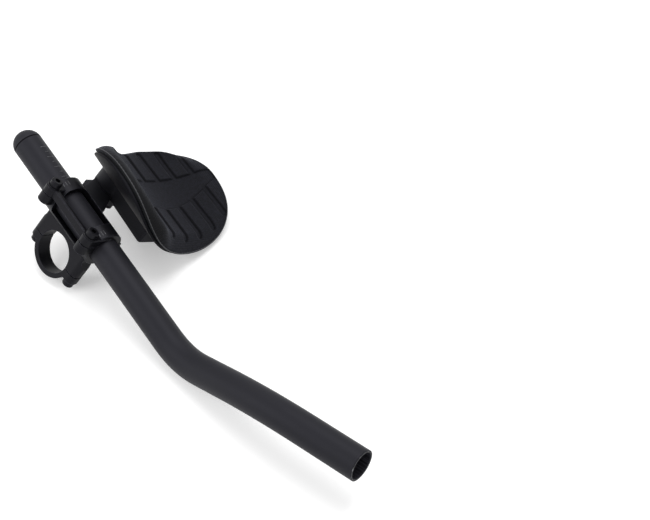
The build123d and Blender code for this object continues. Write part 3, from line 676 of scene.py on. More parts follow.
class PadShape:
    """The armrest pad as a rule: heights above the cup from places across (arc) and along the trough."""

    def __init__(self, settings):
        self.settings = settings
        roll, toe = settings.roll, settings.toe_in
        across = Vector((math.cos(roll) * math.cos(toe), -math.cos(roll) * math.sin(toe), math.sin(roll)))
        along = Vector((math.sin(toe), math.cos(toe), 0))
        self.axes = np.array([across, along, across.cross(along)])
        self.origin = np.array(settings.centre)
        rim_radius = settings.trough_radius - settings.side_thickness
        rim_angle = settings.rim_arc / settings.trough_radius
        half = rim_radius * math.sin(rim_angle)
        sag = settings.trough_radius - rim_radius * math.cos(rim_angle) - settings.thickness
        self.top_radius = (half * half + sag * sag) / (2 * sag)
        self.axis_gap = settings.thickness + self.top_radius - settings.trough_radius

    def rim_reach(self, arc, along):
        """Half sizes and squareness of the outline on the side of each place."""
        s = self.settings
        wide = np.where(arc >= 0, s.rim_arc, s.outer_arc)
        reach = np.where(along >= 0, s.rim_front, s.rim_rear)
        inboard = np.where(along >= 0, s.squareness, s.rear_squareness)
        outboard = np.where(along >= 0, s.outer_squareness, s.outer_rear_squareness)
        return wide, reach, np.where(arc >= 0, inboard, outboard)

    def edge(self, arc):
        """Height of the sewn edge above the cup."""
        s = self.settings
        return s.outer_edge + (s.edge_thickness - s.outer_edge) * smoothstep(*EDGE_CHANGE, arc)

    def on_disc(self, disc):
        """Arc and along values for points of a unit disc."""
        wide, reach, square = self.rim_reach(disc[:, 0], disc[:, 1])
        size = np.hypot(disc[:, 0], disc[:, 1])
        norm = (np.abs(disc[:, 0]) ** square + np.abs(disc[:, 1]) ** square) ** (1 / square)
        ratio = np.where(norm > NEARLY_ZERO, size / np.maximum(norm, NEARLY_ZERO), 0)
        arc = disc[:, 0] * ratio
        along = disc[:, 1] * ratio
        return arc * wide, along * reach * self.hollow(arc, along)

    def hollow(self, arc, along):
        """Share of the reach that is left where the rear edge is drawn in, for an arc from -1 to 1."""
        return np.where(along < 0, 1 - self.settings.rear_hollow * np.cos(math.pi * arc / 2) ** 2, 1)

    def rim_distance(self, arc, along):
        """Distance to the outline, good near it."""
        wide, reach, square = self.rim_reach(arc, along)
        reach = reach * self.hollow(arc / wide, along)
        u = np.abs(arc) / wide
        v = np.abs(along) / reach
        norm = np.maximum((u**square + v**square) ** (1 / square), NEARLY_ZERO)
        slope_u = (u / norm) ** (square - 1) / wide
        slope_v = (v / norm) ** (square - 1) / reach
        return np.maximum(1 - norm, 0) / np.hypot(slope_u, slope_v)

    def full_height(self, arc):
        """Height of the plain top above the cup, square to the trough."""
        turn = arc / self.settings.trough_radius
        root = np.sqrt(self.top_radius**2 - (self.axis_gap * np.sin(turn)) ** 2)
        return self.settings.trough_radius - (root - self.axis_gap * np.cos(turn))

    def sunk(self, arc, along):
        """Distance inside the walls of the channels and the band, negative on the ribs and the border."""
        s = self.settings
        radius = s.trough_radius - self.full_height(arc)
        x = radius * np.sin(arc / s.trough_radius)
        half_band = self.top_radius * math.sin(s.band_half_arc / self.top_radius)
        half_band = np.where((arc < 0) & (along < s.band_forward), s.band_outer_arc, half_band)
        lens_radius = (half_band**2 + s.band_half_width**2) / (2 * s.band_half_width)
        inside = lens_radius - np.hypot(x, np.abs(along - s.band_forward) + lens_radius - s.band_half_width)
        top_arc = self.top_radius * np.arcsin(np.clip(x / self.top_radius, -1, 1))
        top_arc = top_arc + math.tan(s.channel_slant) * (along - s.band_forward)
        for column in range(s.channels):
            place = (column - (s.channels - 1) / 2) * s.channel_pitch + s.channel_shift
            shortening = math.sqrt(1 - (place / s.channel_arc) ** 2)
            front = s.band_forward + s.channel_front * shortening - s.channel_width / 2
            rear = s.band_forward - s.channel_rear * shortening + s.channel_width / 2
            beyond = np.maximum(np.maximum(along - front, rear - along), 0)
            inside = np.maximum(inside, s.channel_width / 2 - np.hypot(top_arc - place, beyond))
        border = (s.border_width + CHANNEL_MARGIN) * smoothstep(*BOLSTER_FRONT, arc)
        return np.minimum(inside, self.rim_distance(arc, along) - border)

    def pressed(self, arc, along):
        """1 on the floor of the channels and the band, 0 on the ribs and the border."""
        half_wall = self.settings.channel_wall / 2
        return smoothstep(-half_wall, half_wall, self.sunk(arc, along))

    def creases(self, arc, along):
        """Mask of painted shade: 1 along the walls of the channels and the band, less along the border's
        crease.
        """
        walls = np.exp(-(((self.sunk(arc, along) - WALL_FOOT) / WALL_CREASE) ** 2))
        return np.maximum(walls, BORDER_CREASE_SHADE * self.border_crease(arc, along))

    def bolster(self, arc, along):
        """1 along the inboard bolster, which runs on round the rear corner, 0 on the other edges."""
        rear = smoothstep(*BOLSTER_REAR, arc)
        front = smoothstep(*BOLSTER_FRONT, arc)
        return rear + (front - rear) * smoothstep(*BOLSTER_TURN, along)

    def border_crease(self, arc, along):
        """1 in the crease between the inboard border and the field."""
        gap = self.rim_distance(arc, along) - self.settings.border_width
        return np.exp(-((gap / CREASE_WIDTH) ** 2)) * smoothstep(*BOLSTER_FRONT, arc)

    def height(self, arc, along):
        """Height of the rolled top above the cup, without the channels."""
        s = self.settings
        bolster = self.bolster(arc, along)
        gap = self.rim_distance(arc, along)
        tight_rear = smoothstep(*REAR_ROLL_ALONG, along) * smoothstep(*REAR_ROLL_ACROSS, arc)
        width = s.roll_width + (s.rear_roll - s.roll_width) * tight_rear
        gentle = np.sin(np.clip(gap / width, 0, 1) * math.pi / 2)
        q = np.clip(gap / s.bolster_roll, 0, 1)
        tight = (1 - (1 - q) ** ROLL_FULLNESS) ** (1 / ROLL_FULLNESS)
        rise = gentle + (tight - gentle) * bolster
        ridge = np.exp(-(((gap - s.border_width / 2) / BOLSTER_SPREAD) ** 2))
        crown = s.bolster_height * bolster * ridge - CREASE_DEPTH * self.border_crease(arc, along)
        hump = np.exp(-(((arc - REAR_CROWN_PLACE) / REAR_CROWN_SPREAD) ** 2))
        crown += s.rear_crown * hump * smoothstep(*REAR_CROWN_ALONG, along)
        edge = self.edge(arc)
        return edge + (self.full_height(arc) - edge + crown) * rise

    def places(self, arc, along, height):
        """Points in the part's frame at a height above the cup."""
        trough = self.settings.trough_radius
        radius = trough - height
        turn = arc / trough
        local = np.stack([radius * np.sin(turn), along, trough - radius * np.cos(turn)], axis=1)
        return self.origin + local @ self.axes


def disc_grid(count):
    """Square grid of points bent to fill a unit disc, row by row."""
    steps = np.linspace(-1, 1, count)
    u, v = np.meshgrid(steps, steps)
    return np.stack([(u * np.sqrt(1 - v * v / 2)).ravel(), (v * np.sqrt(1 - u * u / 2)).ravel()], axis=1)


def grid_border(count):
    """Indices of a square grid's border, once round, anticlockwise."""
    last = count - 1
    bottom = list(range(last))
    right = [row * count + last for row in range(last)]
    top = [last * count + last - column for column in range(last)]
    left = [(last - row) * count for row in range(last)]
    return bottom + right + top + left


def grid_faces(count):
    """Faces of a square grid of points."""
    starts = [row * count + column for row in range(count - 1) for column in range(count - 1)]
    return [(start, start + 1, start + count + 1, start + count) for start in starts]


class PadSurface:
    """Points of the pad, gathered in order with their places on the trough, and the faces between them."""

    def __init__(self, shape):
        self.shape = shape
        self.points, self.flat, self.faces = [], [], []
        self.total = 0

    def add(self, arc, along, height):
        """Adds points at a height above the cup and gives their numbers."""
        self.points.append(self.shape.places(arc, along, height))
        self.flat.append(np.stack([arc, along], axis=1))
        self.total += len(arc)
        return list(range(self.total - len(arc), self.total))

    def wall(self, ring, lower):
        """Joins two rings of as many points."""
        for i in range(len(ring)):
            ahead = (i + 1) % len(ring)
            self.faces.append((ring[i], lower[i], lower[ahead], ring[ahead]))

    def halve(self, ring, inner):
        """Joins a ring to one inside it with half as many points."""
        for i in range(len(inner)):
            a, b, c = ring[2 * i], ring[2 * i + 1], ring[(2 * i + 2) % len(ring)]
            d, e = inner[i], inner[(i + 1) % len(inner)]
            self.faces += [(a, d, b), (b, d, e), (b, e, c)]

    def fan(self, ring, middle):
        """Closes a ring to a point in its middle."""
        self.faces += [(ring[i], middle, ring[(i + 1) % len(ring)]) for i in range(len(ring))]

    def mesh(self, name):
        """The mesh, with its flat map for the weave and the masks of painted shade in the creases and on the
        inboard border.
        """
        s = self.shape.settings
        mesh = mesh_from(name, np.concatenate(self.points), self.faces)
        flat = np.concatenate(self.flat)
        loops = np.zeros(len(mesh.loops), np.int32)
        mesh.loops.foreach_get("vertex_index", loops)
        layer = mesh.uv_layers.new(name="weave")
        layer.data.foreach_set("uv", flat[loops].astype(np.float32).ravel())
        arc, along = flat.T
        crease_shade = np.zeros(len(flat))
        top = len(self.points[0])
        crease_shade[:top] = self.shape.creases(arc[:top], along[:top])
        inside = self.shape.rim_distance(arc, along)
        fade = smoothstep(BORDER_FADE * s.border_width, s.border_width, inside)
        # Mask of the painted shade on the inboard border.
        border = self.shape.bolster(arc, along) * (1 - fade)
        for label, values in (("crease_shade", crease_shade), ("border", border)):
            attribute = mesh.attributes.new(label, "FLOAT", "POINT")
            attribute.data.foreach_set("value", values.astype(np.float32))
        return mesh


def pad_mesh(shape, count, swell=None):
    """Closed pad: a fine grid on top, a short sewn edge and a plainer underside whose rings halve inwards."""
    s = shape.settings
    surface = PadSurface(shape)
    disc = disc_grid(count)
    arc, along = shape.on_disc(disc)
    pressed = shape.pressed(arc, along)
    height = shape.height(arc, along)
    lift = swell(shape.places(arc, along, height)) * (1 - pressed) if swell else 0
    surface.add(arc, along, height - pressed * s.channel_depth + lift)
    surface.faces += grid_faces(count)
    ring = grid_border(count)
    outline = disc[ring]
    arc, along = shape.on_disc(outline)
    for level in EDGE_LEVELS:
        low = s.seat_clearance + (shape.edge(arc) - s.seat_clearance) * level
        lower = surface.add(arc, along, low)
        surface.wall(ring, lower)
        ring = lower
    rings = [(size, s.seat_clearance) for size in SEATED_RINGS]
    rings += [(size, s.strip_room) for size in RAISED_RINGS]
    for size, low in rings:
        outline = outline[::2]
        arc, along = shape.on_disc(outline * size)
        inner = surface.add(arc, along, np.full(len(arc), low))
        surface.halve(ring, inner)
        ring = inner
    (middle,) = surface.add(np.zeros(1), np.zeros(1), np.full(1, s.strip_room))
    surface.fan(ring, middle)
    return surface.mesh("armrest_soft_pad")


def swelling(shape):
    """Simulates the cover as cloth under pressure, held at channels and rim; gives the swell anywhere."""
    s = shape.settings
    rough = bpy.data.objects.new("pad_cloth", pad_mesh(shape, CLOTH_GRID))
    bpy.context.scene.collection.objects.link(rough)
    remesh = rough.modifiers.new("voxels", "REMESH")
    remesh.mode = "VOXEL"
    remesh.voxel_size = CLOTH_VOXEL
    depsgraph = bpy.context.evaluated_depsgraph_get()
    rough.data = bpy.data.meshes.new_from_object(rough.evaluated_get(depsgraph))
    rough.modifiers.clear()
    start = np.array([vertex.co for vertex in rough.data.vertices])
    local = (start - shape.origin) @ shape.axes.T
    rise = s.trough_radius - local[:, 2]
    arc = s.trough_radius * np.arctan2(local[:, 0], rise)
    height = s.trough_radius - np.hypot(local[:, 0], rise)
    sewn = shape.pressed(arc, local[:, 1])
    held = (sewn > HELD_PRESS) | (shape.rim_distance(arc, local[:, 1]) < s.bolster_roll)
    held |= height < shape.height(arc, local[:, 1]) * HELD_HEIGHT
    group = rough.vertex_groups.new(name="held")
    group.add([int(index) for index in np.flatnonzero(held)], 1.0, "REPLACE")
    cloth = rough.modifiers.new("cover", "CLOTH")
    cloth.settings.vertex_group_mass = group.name
    cloth.settings.effector_weights.gravity = 0
    cloth.settings.use_pressure = True
    cloth.settings.uniform_pressure_force = CLOTH_PRESSURE
    cloth.point_cache.frame_end = CLOTH_FRAMES
    for step in range(1, CLOTH_FRAMES + 1):
        bpy.context.scene.frame_set(step)
    depsgraph = bpy.context.evaluated_depsgraph_get()
    swollen = bpy.data.meshes.new_from_object(rough.evaluated_get(depsgraph))
    moved = np.array([vertex.co for vertex in swollen.vertices]) - start
    outward = np.array([vertex.normal for vertex in rough.data.vertices])
    lift = np.clip((moved * outward).sum(axis=1), 0, s.swell_limit)
    bpy.context.scene.frame_set(1)
    bpy.data.objects.remove(rough)
    tree = KDTree(len(start))
    for index, place in enumerate(start):
        tree.insert(place, index)
    tree.balance()

    def swell(places):
        """Swell at each place, as a mean of the nearest simulated points."""
        found = np.zeros(len(places))
        for number, place in enumerate(places):
            near = tree.find_n(place, CLOTH_NEIGHBOURS)
            weights = np.array([1 / (gap + CLOTH_VOXEL / 4) ** 2 for _, _, gap in near])
            found[number] = (weights * lift[[index for _, index, _ in near]]).sum() / weights.sum()
        return found

    return swell


def rim_path(shape, steps, above=0.0):
    """Closed loop of points round the pad's sewn edge."""
    turn = np.linspace(0, 2 * math.pi, steps, endpoint=False)
    arc, along = shape.on_disc(np.stack([np.cos(turn), np.sin(turn)], axis=1))
    return shape.places(arc, along, shape.edge(arc) + above)


def even_loop(loop, steps):
    """The same closed loop with evenly spaced points."""
    closed = np.concatenate([loop, loop[:1]])
    run = np.concatenate([[0], np.cumsum(np.linalg.norm(np.diff(closed, axis=0), axis=1))])
    wanted = np.linspace(0, run[-1], steps, endpoint=False)
    return np.stack([np.interp(wanted, run, closed[:, axis]) for axis in range(3)], axis=1)


def closed_tube_mesh(name, loop, radius, sides):
    """Round tube along a closed loop of points."""
    count = len(loop)
    tangent = np.roll(loop, -1, axis=0) - np.roll(loop, 1, axis=0)
    tangent /= np.linalg.norm(tangent, axis=1)[:, None]
    side = np.cross(tangent, [0, 0, 1.0])
    side /= np.linalg.norm(side, axis=1)[:, None]
    upward = np.cross(side, tangent)
    turn = np.linspace(0, 2 * math.pi, sides, endpoint=False)
    ring = np.cos(turn)[None, :, None] * side[:, None] + np.sin(turn)[None, :, None] * upward[:, None]
    points = (loop[:, None] + radius * ring).reshape(-1, 3)
    faces = []
    for i in range(count):
        ahead = (i + 1) % count
        faces += [
            (i * sides + j, ahead * sides + j, ahead * sides + (j + 1) % sides, i * sides + (j + 1) % sides)
            for j in range(sides)
        ]
    return mesh_from(name, points, faces)


# Geometry nodes


class NodeTree(Graph):
    """A geometry node tree under construction, with named inputs."""

    def __init__(self, name, **inputs):
        super().__init__(bpy.data.node_groups.new(name, "GeometryNodeTree"))
        self.sockets = {}
        face = self.tree.interface
        face.new_socket("Geometry", in_out="INPUT", socket_type="NodeSocketGeometry")
        for key, kind in inputs.items():
            label = key.replace("_", " ")
            socket = face.new_socket(label, in_out="INPUT", socket_type="NodeSocket" + kind)
            self.sockets[label] = socket.identifier
        face.new_socket("Geometry", in_out="OUTPUT", socket_type="NodeSocketGeometry")
        self.entry = self.tree.nodes.new("NodeGroupInput")
        self.exit = self.tree.nodes.new("NodeGroupOutput")

    def take(self, label, socket):
        """Joins one of the tree's named inputs to a node's input."""
        self.link(self.entry.outputs[label], socket)

    def instances(self, points, instance, rotation):
        """Copies an instance to points, makes it real, gives it its finish and ends the tree."""
        copies = self.node("GeometryNodeInstanceOnPoints")
        self.link(points, copies.inputs["Points"])
        self.link(instance, copies.inputs["Instance"])
        if rotation:
            self.link(rotation, copies.inputs["Rotation"])
        real = self.node("GeometryNodeRealizeInstances")
        self.link(copies.outputs["Instances"], real.inputs["Geometry"])
        finish = self.node("GeometryNodeSetMaterial")
        self.link(real.outputs["Geometry"], finish.inputs["Geometry"])
        self.take("Finish", finish.inputs["Material"])
        self.link(finish.outputs["Geometry"], self.exit.inputs["Geometry"])


def grown(name, carrier, builder, values):
    """Runs a node tree on a carrier mesh and gives the result as a plain mesh."""
    piece = bpy.data.objects.new(name, carrier)
    bpy.context.scene.collection.objects.link(piece)
    modifier = piece.modifiers.new(name, "NODES")
    modifier.node_group = builder.tree
    for label, value in values.items():
        modifier[builder.sockets[label]] = value
    depsgraph = bpy.context.evaluated_depsgraph_get()
    mesh = bpy.data.meshes.new_from_object(piece.evaluated_get(depsgraph))
    mesh.name = name
    piece.modifiers.remove(modifier)
    bpy.data.objects.remove(piece)
    if not len(mesh.polygons):
        raise RuntimeError(f"{name} has no faces")
    return mesh


def stitch_tree():
    """Stitches laid end to end along the carrier's edges."""
    builder = NodeTree("edge_stitches", Pitch="Float", Length="Float", Radius="Float", Finish="Material")
    curve = builder.node("GeometryNodeMeshToCurve")
    builder.take("Geometry", curve.inputs["Mesh"])
    resampled = builder.node("GeometryNodeResampleCurve", mode="LENGTH")
    builder.link(curve.outputs["Curve"], resampled.inputs["Curve"])
    builder.take("Pitch", resampled.inputs["Length"])
    ball = builder.node("GeometryNodeMeshUVSphere")
    ball.inputs["Segments"].default_value = 8
    ball.inputs["Rings"].default_value = 5
    ball.inputs["Radius"].default_value = 1.0
    size = builder.node("ShaderNodeCombineXYZ")
    half = builder.node("ShaderNodeMath", operation="MULTIPLY")
    builder.take("Length", half.inputs[0])
    half.inputs[1].default_value = 0.5
    builder.take("Radius", size.inputs["X"])
    builder.take("Radius", size.inputs["Y"])
    builder.link(half.outputs["Value"], size.inputs["Z"])
    stitch = builder.node("GeometryNodeTransform")
    builder.link(ball.outputs["Mesh"], stitch.inputs["Geometry"])
    builder.link(size.outputs["Vector"], stitch.inputs["Scale"])
    tangent = builder.node("GeometryNodeInputTangent")
    turn = builder.node("FunctionNodeAlignRotationToVector", axis="Z")
    builder.link(tangent.outputs["Tangent"], turn.inputs["Vector"])
    builder.instances(resampled.outputs["Curve"], stitch.outputs["Geometry"], turn.outputs["Rotation"])
    return builder


def ring_tick_tree():
    """Short arcs of ink round a straight tube, one at each step along a line."""
    builder = NodeTree(
        "ring_ticks",
        Start="Vector",
        End="Vector",
        Pitch="Float",
        Radius="Float",
        First_Angle="Float",
        Sweep="Float",
        Width="Float",
        Ink_Height="Float",
        Finish="Material",
    )
    line = builder.node("GeometryNodeCurvePrimitiveLine")
    builder.take("Start", line.inputs["Start"])
    builder.take("End", line.inputs["End"])
    steps = builder.node("GeometryNodeResampleCurve", mode="LENGTH")
    builder.link(line.outputs["Curve"], steps.inputs["Curve"])
    builder.take("Pitch", steps.inputs["Length"])
    arc = builder.node("GeometryNodeCurveArc", mode="RADIUS")
    arc.inputs["Resolution"].default_value = TICK_POINTS
    builder.take("Radius", arc.inputs["Radius"])
    builder.take("First Angle", arc.inputs["Start Angle"])
    builder.take("Sweep", arc.inputs["Sweep Angle"])
    stroke = builder.node("GeometryNodeCurvePrimitiveQuadrilateral", mode="RECTANGLE")
    builder.take("Ink Height", stroke.inputs["Width"])
    builder.take("Width", stroke.inputs["Height"])
    tick = builder.node("GeometryNodeCurveToMesh")
    builder.link(arc.outputs["Curve"], tick.inputs["Curve"])
    builder.link(stroke.outputs["Curve"], tick.inputs["Profile Curve"])
    tick.inputs["Fill Caps"].default_value = True
    upright = builder.node("GeometryNodeTransform")
    upright.inputs["Rotation"].default_value = (math.pi / 2, 0, 0)
    builder.link(tick.outputs["Mesh"], upright.inputs["Geometry"])
    builder.instances(steps.outputs["Curve"], upright.outputs["Geometry"], None)
    return builder


def band_tick_tree():
    """Straight ticks along a tube's axis, set side by side round an arc of the carrier's edges."""
    builder = NodeTree(
        "band_ticks", Count="Int", Length="Float", Width="Float", Ink_Height="Float", Finish="Material"
    )
    curve = builder.node("GeometryNodeMeshToCurve")
    builder.take("Geometry", curve.inputs["Mesh"])
    steps = builder.node("GeometryNodeResampleCurve", mode="COUNT")
    builder.link(curve.outputs["Curve"], steps.inputs["Curve"])
    builder.take("Count", steps.inputs["Count"])
    size = builder.node("ShaderNodeCombineXYZ")
    builder.take("Width", size.inputs["X"])
    builder.take("Length", size.inputs["Y"])
    builder.take("Ink Height", size.inputs["Z"])
    block = builder.node("GeometryNodeMeshCube")
    builder.link(size.outputs["Vector"], block.inputs["Size"])
    tangent = builder.node("GeometryNodeInputTangent")
    turn = builder.node("FunctionNodeAlignRotationToVector", axis="X", pivot_axis="Y")
    builder.link(tangent.outputs["Tangent"], turn.inputs["Vector"])
    builder.instances(steps.outputs["Curve"], block.outputs["Mesh"], turn.outputs["Rotation"])
    return builder


# Operators


class EXTENSION_OT_tube(bpy.types.Operator):
    """Finish the bent tube and its end plug"""

    bl_idname = "extension.tube"
    bl_label = "Finish Tube and Plug"

    def execute(self, context):
        settings = context.scene.extension.finish
        mount = next(item for item in frame["record"]["mounts"] if item["name"] == "tube_mouth")
        axis = Vector(mount["axis"]).normalized()
        reach = max(axis.dot(vertex.co) for vertex in frame["nodes"]["extension_tube"].data.vertices)
        middle = Vector(mount["pos_m"])
        mouth = middle + axis * (reach - axis.dot(middle))
        bore_radius = mount["dims"]["r_mm"] * MM
        joint_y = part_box("extension_tube")[0].y
        dress(TUBE_NODES, anodised_tube_finish(settings, mouth, axis, bore_radius, joint_y))
        dress(PLUG_NODES, plug_finish(settings, joint_y))
        return {"FINISHED"}


class EXTENSION_OT_clamps(bpy.types.Operator):
    """Finish the clamp body, its caps, the armrest bracket and the rail"""

    bl_idname = "extension.clamps"
    bl_label = "Finish Clamps and Bracket"

    def execute(self, context):
        settings = context.scene.extension.finish
        dress(FORGED_NODES, forged_finish(settings))
        dress(BRACKET_NODES, bracket_finish(settings))
        return {"FINISHED"}


class EXTENSION_OT_screws(bpy.types.Operator):
    """Finish all screws and washers"""

    bl_idname = "extension.screws"
    bl_label = "Finish Screws and Washers"

    def execute(self, context):
        dress(STEEL_NODES, black_steel_finish(context.scene.extension.finish))
        return {"FINISHED"}


class EXTENSION_OT_cup(bpy.types.Operator):
    """Finish the armrest cup and the fastener strips in it"""

    bl_idname = "extension.cup"
    bl_label = "Finish Cup and Strips"

    def execute(self, context):
        settings = context.scene.extension.finish
        dress(CUP_NODES, cup_finish(settings))
        dress(STRIP_NODES, strip_finish(settings))
        return {"FINISHED"}


class EXTENSION_OT_pad(bpy.types.Operator):
    """Build the soft armrest pad with its pressed channels and plain band"""

    bl_idname = "extension.pad"
    bl_label = "Build Armrest Pad"

    def execute(self, context):
        settings = context.scene.extension.armrest
        shape = PadShape(settings)
        swell = swelling(shape)
        mesh = pad_mesh(shape, PAD_GRID, swell)
        pad = add_piece("armrest_soft_pad", mesh, fabric_finish(settings))
        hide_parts("armrest_pad")
        return {"FINISHED"}


class EXTENSION_OT_edge(bpy.types.Operator):
    """Build the piping and the stitches round the pad's edge"""

    bl_idname = "extension.edge"
    bl_label = "Build Sewn Edge"

    def execute(self, context):
        settings = context.scene.extension.armrest
        shape = PadShape(settings)
        thread = thread_finish(settings)
        loop = even_loop(rim_path(shape, 4 * RIM_STEPS), RIM_STEPS)
        piping = closed_tube_mesh("pad_edge_piping", loop, settings.piping_radius, PIPING_SIDES)
        add_piece("pad_edge_piping", piping, thread)
        path = even_loop(rim_path(shape, 4 * RIM_STEPS, settings.piping_radius), RIM_STEPS)
        carrier = bpy.data.meshes.new("stitch_path")
        ring = [(index, (index + 1) % RIM_STEPS) for index in range(RIM_STEPS)]
        carrier.from_pydata([tuple(point) for point in path], ring, [])
        values = {
            "Pitch": settings.stitch_pitch,
            "Length": settings.stitch_length,
            "Radius": settings.stitch_radius,
            "Finish": thread,
        }
        stitches = grown("pad_edge_stitches", carrier, stitch_tree(), values)
        stitches.shade_smooth()
        add_piece("pad_edge_stitches", stitches, thread)
        return {"FINISHED"}


class EXTENSION_OT_print(bpy.types.Operator):
    """Build the printed scale on the tube and the index ticks on the cap"""

    bl_idname = "extension.print"
    bl_label = "Build Printed Ticks"

    def execute(self, context):
        settings = context.scene.extension.ink
        ink = ink_finish(context.scene.extension.finish)
        low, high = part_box("tube_end_plug")
        axis_x, axis_z = (low.x + high.x) / 2, (low.z + high.z) / 2
        radius = (high.x - low.x) / 2
        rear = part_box("extension_tube")[0].y
        start = Vector((axis_x, rear + settings.scale_start, axis_z))
        rings = ring_tick_tree()
        for name, pitch, sweep in (
            ("tube_scale_long_ticks", settings.major_pitch, settings.major_sweep),
            ("tube_scale_short_ticks", settings.minor_pitch, settings.minor_sweep),
        ):
            values = {
                "Start": start,
                "End": start + Vector((0, settings.scale_length, 0)),
                "Pitch": pitch,
                "Radius": radius,
                "First Angle": settings.scale_angle - sweep / 2,
                "Sweep": sweep,
                "Width": settings.line_width,
                "Ink Height": 2 * settings.ink_height,
                "Finish": ink,
            }
            ticks = grown(name, bpy.data.meshes.new(name), rings, values)
            add_piece(name, ticks, ink)
        self.index_ticks(settings, ink, axis_x, axis_z)
        return {"FINISHED"}

    def index_ticks(self, settings, ink, axis_x, axis_z):
        """Axial ticks on both bands of the cap, beside the screws."""
        cap_low, cap_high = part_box("extension_clamp_cap")
        bolt_low, bolt_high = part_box("extension_clamp_bolts")
        head_radius = (bolt_high.x - bolt_low.x) / 2
        radius = cap_high.z - axis_z
        points, edges = [], []
        for centre_y in (bolt_low.y + head_radius, bolt_high.y - head_radius):
            for step in range(INDEX_PIECES + 1):
                turn = settings.index_angle + settings.index_spread * (step / INDEX_PIECES - 0.5)
                if step:
                    edges.append((len(points) - 1, len(points)))
                points.append((axis_x + radius * math.cos(turn), centre_y, axis_z + radius * math.sin(turn)))
        carrier = bpy.data.meshes.new("index_path")
        carrier.from_pydata(points, edges, [])
        values = {
            "Count": settings.index_count,
            "Length": settings.index_length,
            "Width": settings.line_width,
            "Ink Height": 2 * settings.ink_height,
            "Finish": ink,
        }
        ticks = grown("cap_index_ticks", carrier, band_tick_tree(), values)
        add_piece("cap_index_ticks", ticks, ink)


class EXTENSION_OT_stage(bpy.types.Operator):
    """Set the camera, the white table and the light"""

    bl_idname = "extension.stage"
    bl_label = "Set Stage"

    def execute(self, context):
        settings = context.scene.extension.stage
        context.scene.view_settings.view_transform = "Standard"
        turned = add_camera(context, settings)
        add_table(context, settings, turned)
        add_sky(context, settings)
        add_lights(context, settings, turned)
        return {"FINISHED"}


def add_camera(context, settings):
    """Camera with the photograph's angle and distance; gives its turn."""
    right = CAMERA_RIGHT.normalized()
    forward = right.cross(CAMERA_DOWN).normalized()
    down = forward.cross(right)
    data = bpy.data.cameras.new("photo_camera")
    data.sensor_fit = "HORIZONTAL"
    data.sensor_width = SENSOR_WIDTH
    data.lens = settings.lens
    data.clip_start = CLIP_START
    camera = bpy.data.objects.new("photo_camera", data)
    context.scene.collection.objects.link(camera)
    turned = Matrix((right, -down, -forward)).transposed()
    place = -(right * CAMERA_OFFSET.x + down * CAMERA_OFFSET.y + forward * CAMERA_OFFSET.z)
    camera.matrix_world = Matrix.Translation(place) @ turned.to_4x4()
    context.scene.camera = camera
    return turned


def table_axes(settings, turned):
    """Right, away and up of the table as the camera sees it."""
    up = Vector(settings.table_normal).normalized()
    right = turned.col[0].copy()
    right = (right - up * right.dot(up)).normalized()
    return right, up.cross(right), up


def table_centre(settings):
    """Middle of the object, dropped on the table."""
    up = Vector(settings.table_normal).normalized()
    middle = (Vector(CAD_BOX[0]) + Vector(CAD_BOX[1])) / 2
    return middle + up * (settings.table_offset - up.dot(middle))


def add_table(context, settings, turned):
    """White table under the object as it lies in the photograph, seen through from below."""
    right, away, up = table_axes(settings, turned)
    centre = table_centre(settings)
    half = settings.table_size / 2
    corners = [centre + right * half * i + away * half * j for i, j in ((-1, -1), (1, -1), (1, 1), (-1, 1))]
    table = bpy.data.objects.new("table", mesh_from("table", corners, [(0, 1, 2, 3)], smooth=False))
    context.scene.collection.objects.link(table)
    shading = Shading("white_table")
    rays = shading.node("ShaderNodeLightPath").outputs
    seen = shading.math("MAXIMUM", rays["Is Camera Ray"], rays["Is Glossy Ray"])
    seen = shading.math("MAXIMUM", seen, rays["Is Transmission Ray"])
    white = shading.mix(seen, rgba(settings.table_colour), rgba([settings.table_shade] * 3))
    shading.finish(white, 0.9, None, Specular_IOR_Level=0.0)
    glow = shading.node("ShaderNodeEmission")
    shading.link(shading.math("MULTIPLY", seen, settings.table_glow), glow.inputs["Strength"])
    lit = shading.node("ShaderNodeAddShader")
    shading.link(shading.shader.outputs["BSDF"], lit.inputs[0])
    shading.link(glow.outputs["Emission"], lit.inputs[1])
    clear = shading.node("ShaderNodeBsdfTransparent")
    sides = shading.node("ShaderNodeMixShader")
    shading.link(shading.node("ShaderNodeNewGeometry").outputs["Backfacing"], sides.inputs["Fac"])
    shading.link(lit.outputs["Shader"], sides.inputs[1])
    shading.link(clear.outputs["BSDF"], sides.inputs[2])
    output = next(node for node in shading.tree.nodes if node.type == "OUTPUT_MATERIAL")
    shading.link(sides.outputs["Shader"], output.inputs["Surface"])
    table.data.materials.append(shading.material)


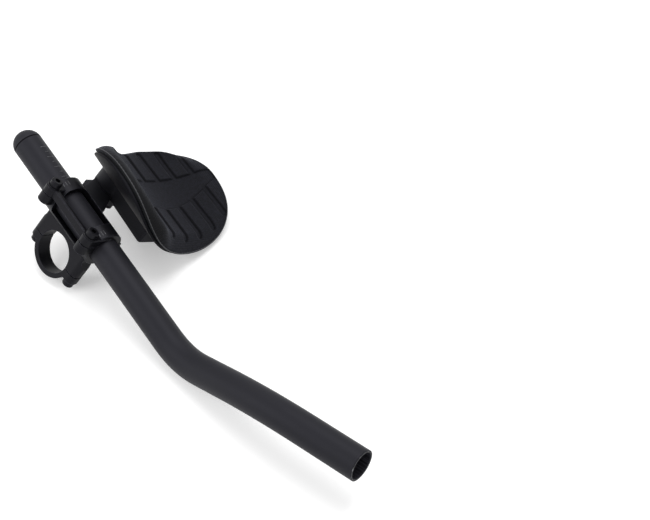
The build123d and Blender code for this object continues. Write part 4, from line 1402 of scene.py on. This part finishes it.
def add_sky(context, settings):
    """Even light from all round, white where it is seen or mirrored."""
    world = bpy.data.worlds.new("studio")
    context.scene.world = world
    world.use_nodes = True
    nodes, links = world.node_tree.nodes, world.node_tree.links
    background = next(node for node in nodes if node.type == "BACKGROUND")
    background.inputs["Color"].default_value = (1, 1, 1, 1)
    rays = nodes.new("ShaderNodeLightPath")
    seen = rays.outputs["Is Camera Ray"]
    for other in ("Is Glossy Ray", "Is Transmission Ray"):
        either = nodes.new("ShaderNodeMath")
        either.operation = "MAXIMUM"
        links.new(seen, either.inputs[0])
        links.new(rays.outputs[other], either.inputs[1])
        seen = either.outputs["Value"]
    level = nodes.new("ShaderNodeMapRange")
    links.new(seen, level.inputs["Value"])
    level.inputs["To Min"].default_value = settings.sky_strength
    level.inputs["To Max"].default_value = 1.0
    links.new(level.outputs["Result"], background.inputs["Strength"])


def add_lights(context, settings, turned):
    """Large soft light above the table and a weaker one low at the side."""
    right, away, up = table_axes(settings, turned)
    centre = table_centre(settings)
    for name, watts, size, place in (
        ("key_light", settings.key_power, settings.key_size, KEY_PLACE),
        ("fill_light", settings.fill_power, settings.fill_size, FILL_PLACE),
    ):
        offset = right * place[0] + away * place[1] + up * place[2]
        data = bpy.data.lights.new(name, "AREA")
        data.energy = watts
        data.shape = "SQUARE"
        data.size = size
        light = bpy.data.objects.new(name, data)
        context.scene.collection.objects.link(light)
        light.location = centre + offset
        light.rotation_euler = (-offset).to_track_quat("-Z", "Y").to_euler()


class EXTENSION_PT_panel(bpy.types.Panel):
    """Lists the steps that dress the extension"""

    bl_idname = "EXTENSION_PT_panel"
    bl_label = "Aero Extension"
    bl_space_type = "VIEW_3D"
    bl_region_type = "UI"
    bl_category = "Extension"

    def draw(self, context):
        for operator in OPERATORS:
            self.layout.operator(operator.bl_idname)


OPERATORS = (
    EXTENSION_OT_tube,
    EXTENSION_OT_clamps,
    EXTENSION_OT_screws,
    EXTENSION_OT_cup,
    EXTENSION_OT_pad,
    EXTENSION_OT_edge,
    EXTENSION_OT_print,
    EXTENSION_OT_stage,
)
CLASSES = (
    FinishSettings,
    ArmrestSettings,
    PrintSettings,
    StageSettings,
    ExtensionSettings,
    *OPERATORS,
    EXTENSION_PT_panel,
)


def register():
    """Registers the classes and the settings."""
    for item in CLASSES:
        bpy.utils.register_class(item)
    bpy.types.Scene.extension = PointerProperty(type=ExtensionSettings)


def unregister():
    """Removes the settings and the classes."""
    del bpy.types.Scene.extension
    for item in reversed(CLASSES):
        bpy.utils.unregister_class(item)


def main():
    """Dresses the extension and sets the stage."""
    register()
    bpy.ops.extension.tube()
    bpy.ops.extension.clamps()
    bpy.ops.extension.screws()
    bpy.ops.extension.cup()
    bpy.ops.extension.pad()
    bpy.ops.extension.edge()
    bpy.ops.extension.print()
    bpy.ops.extension.stage()


if __name__ == "__main__":
    main()
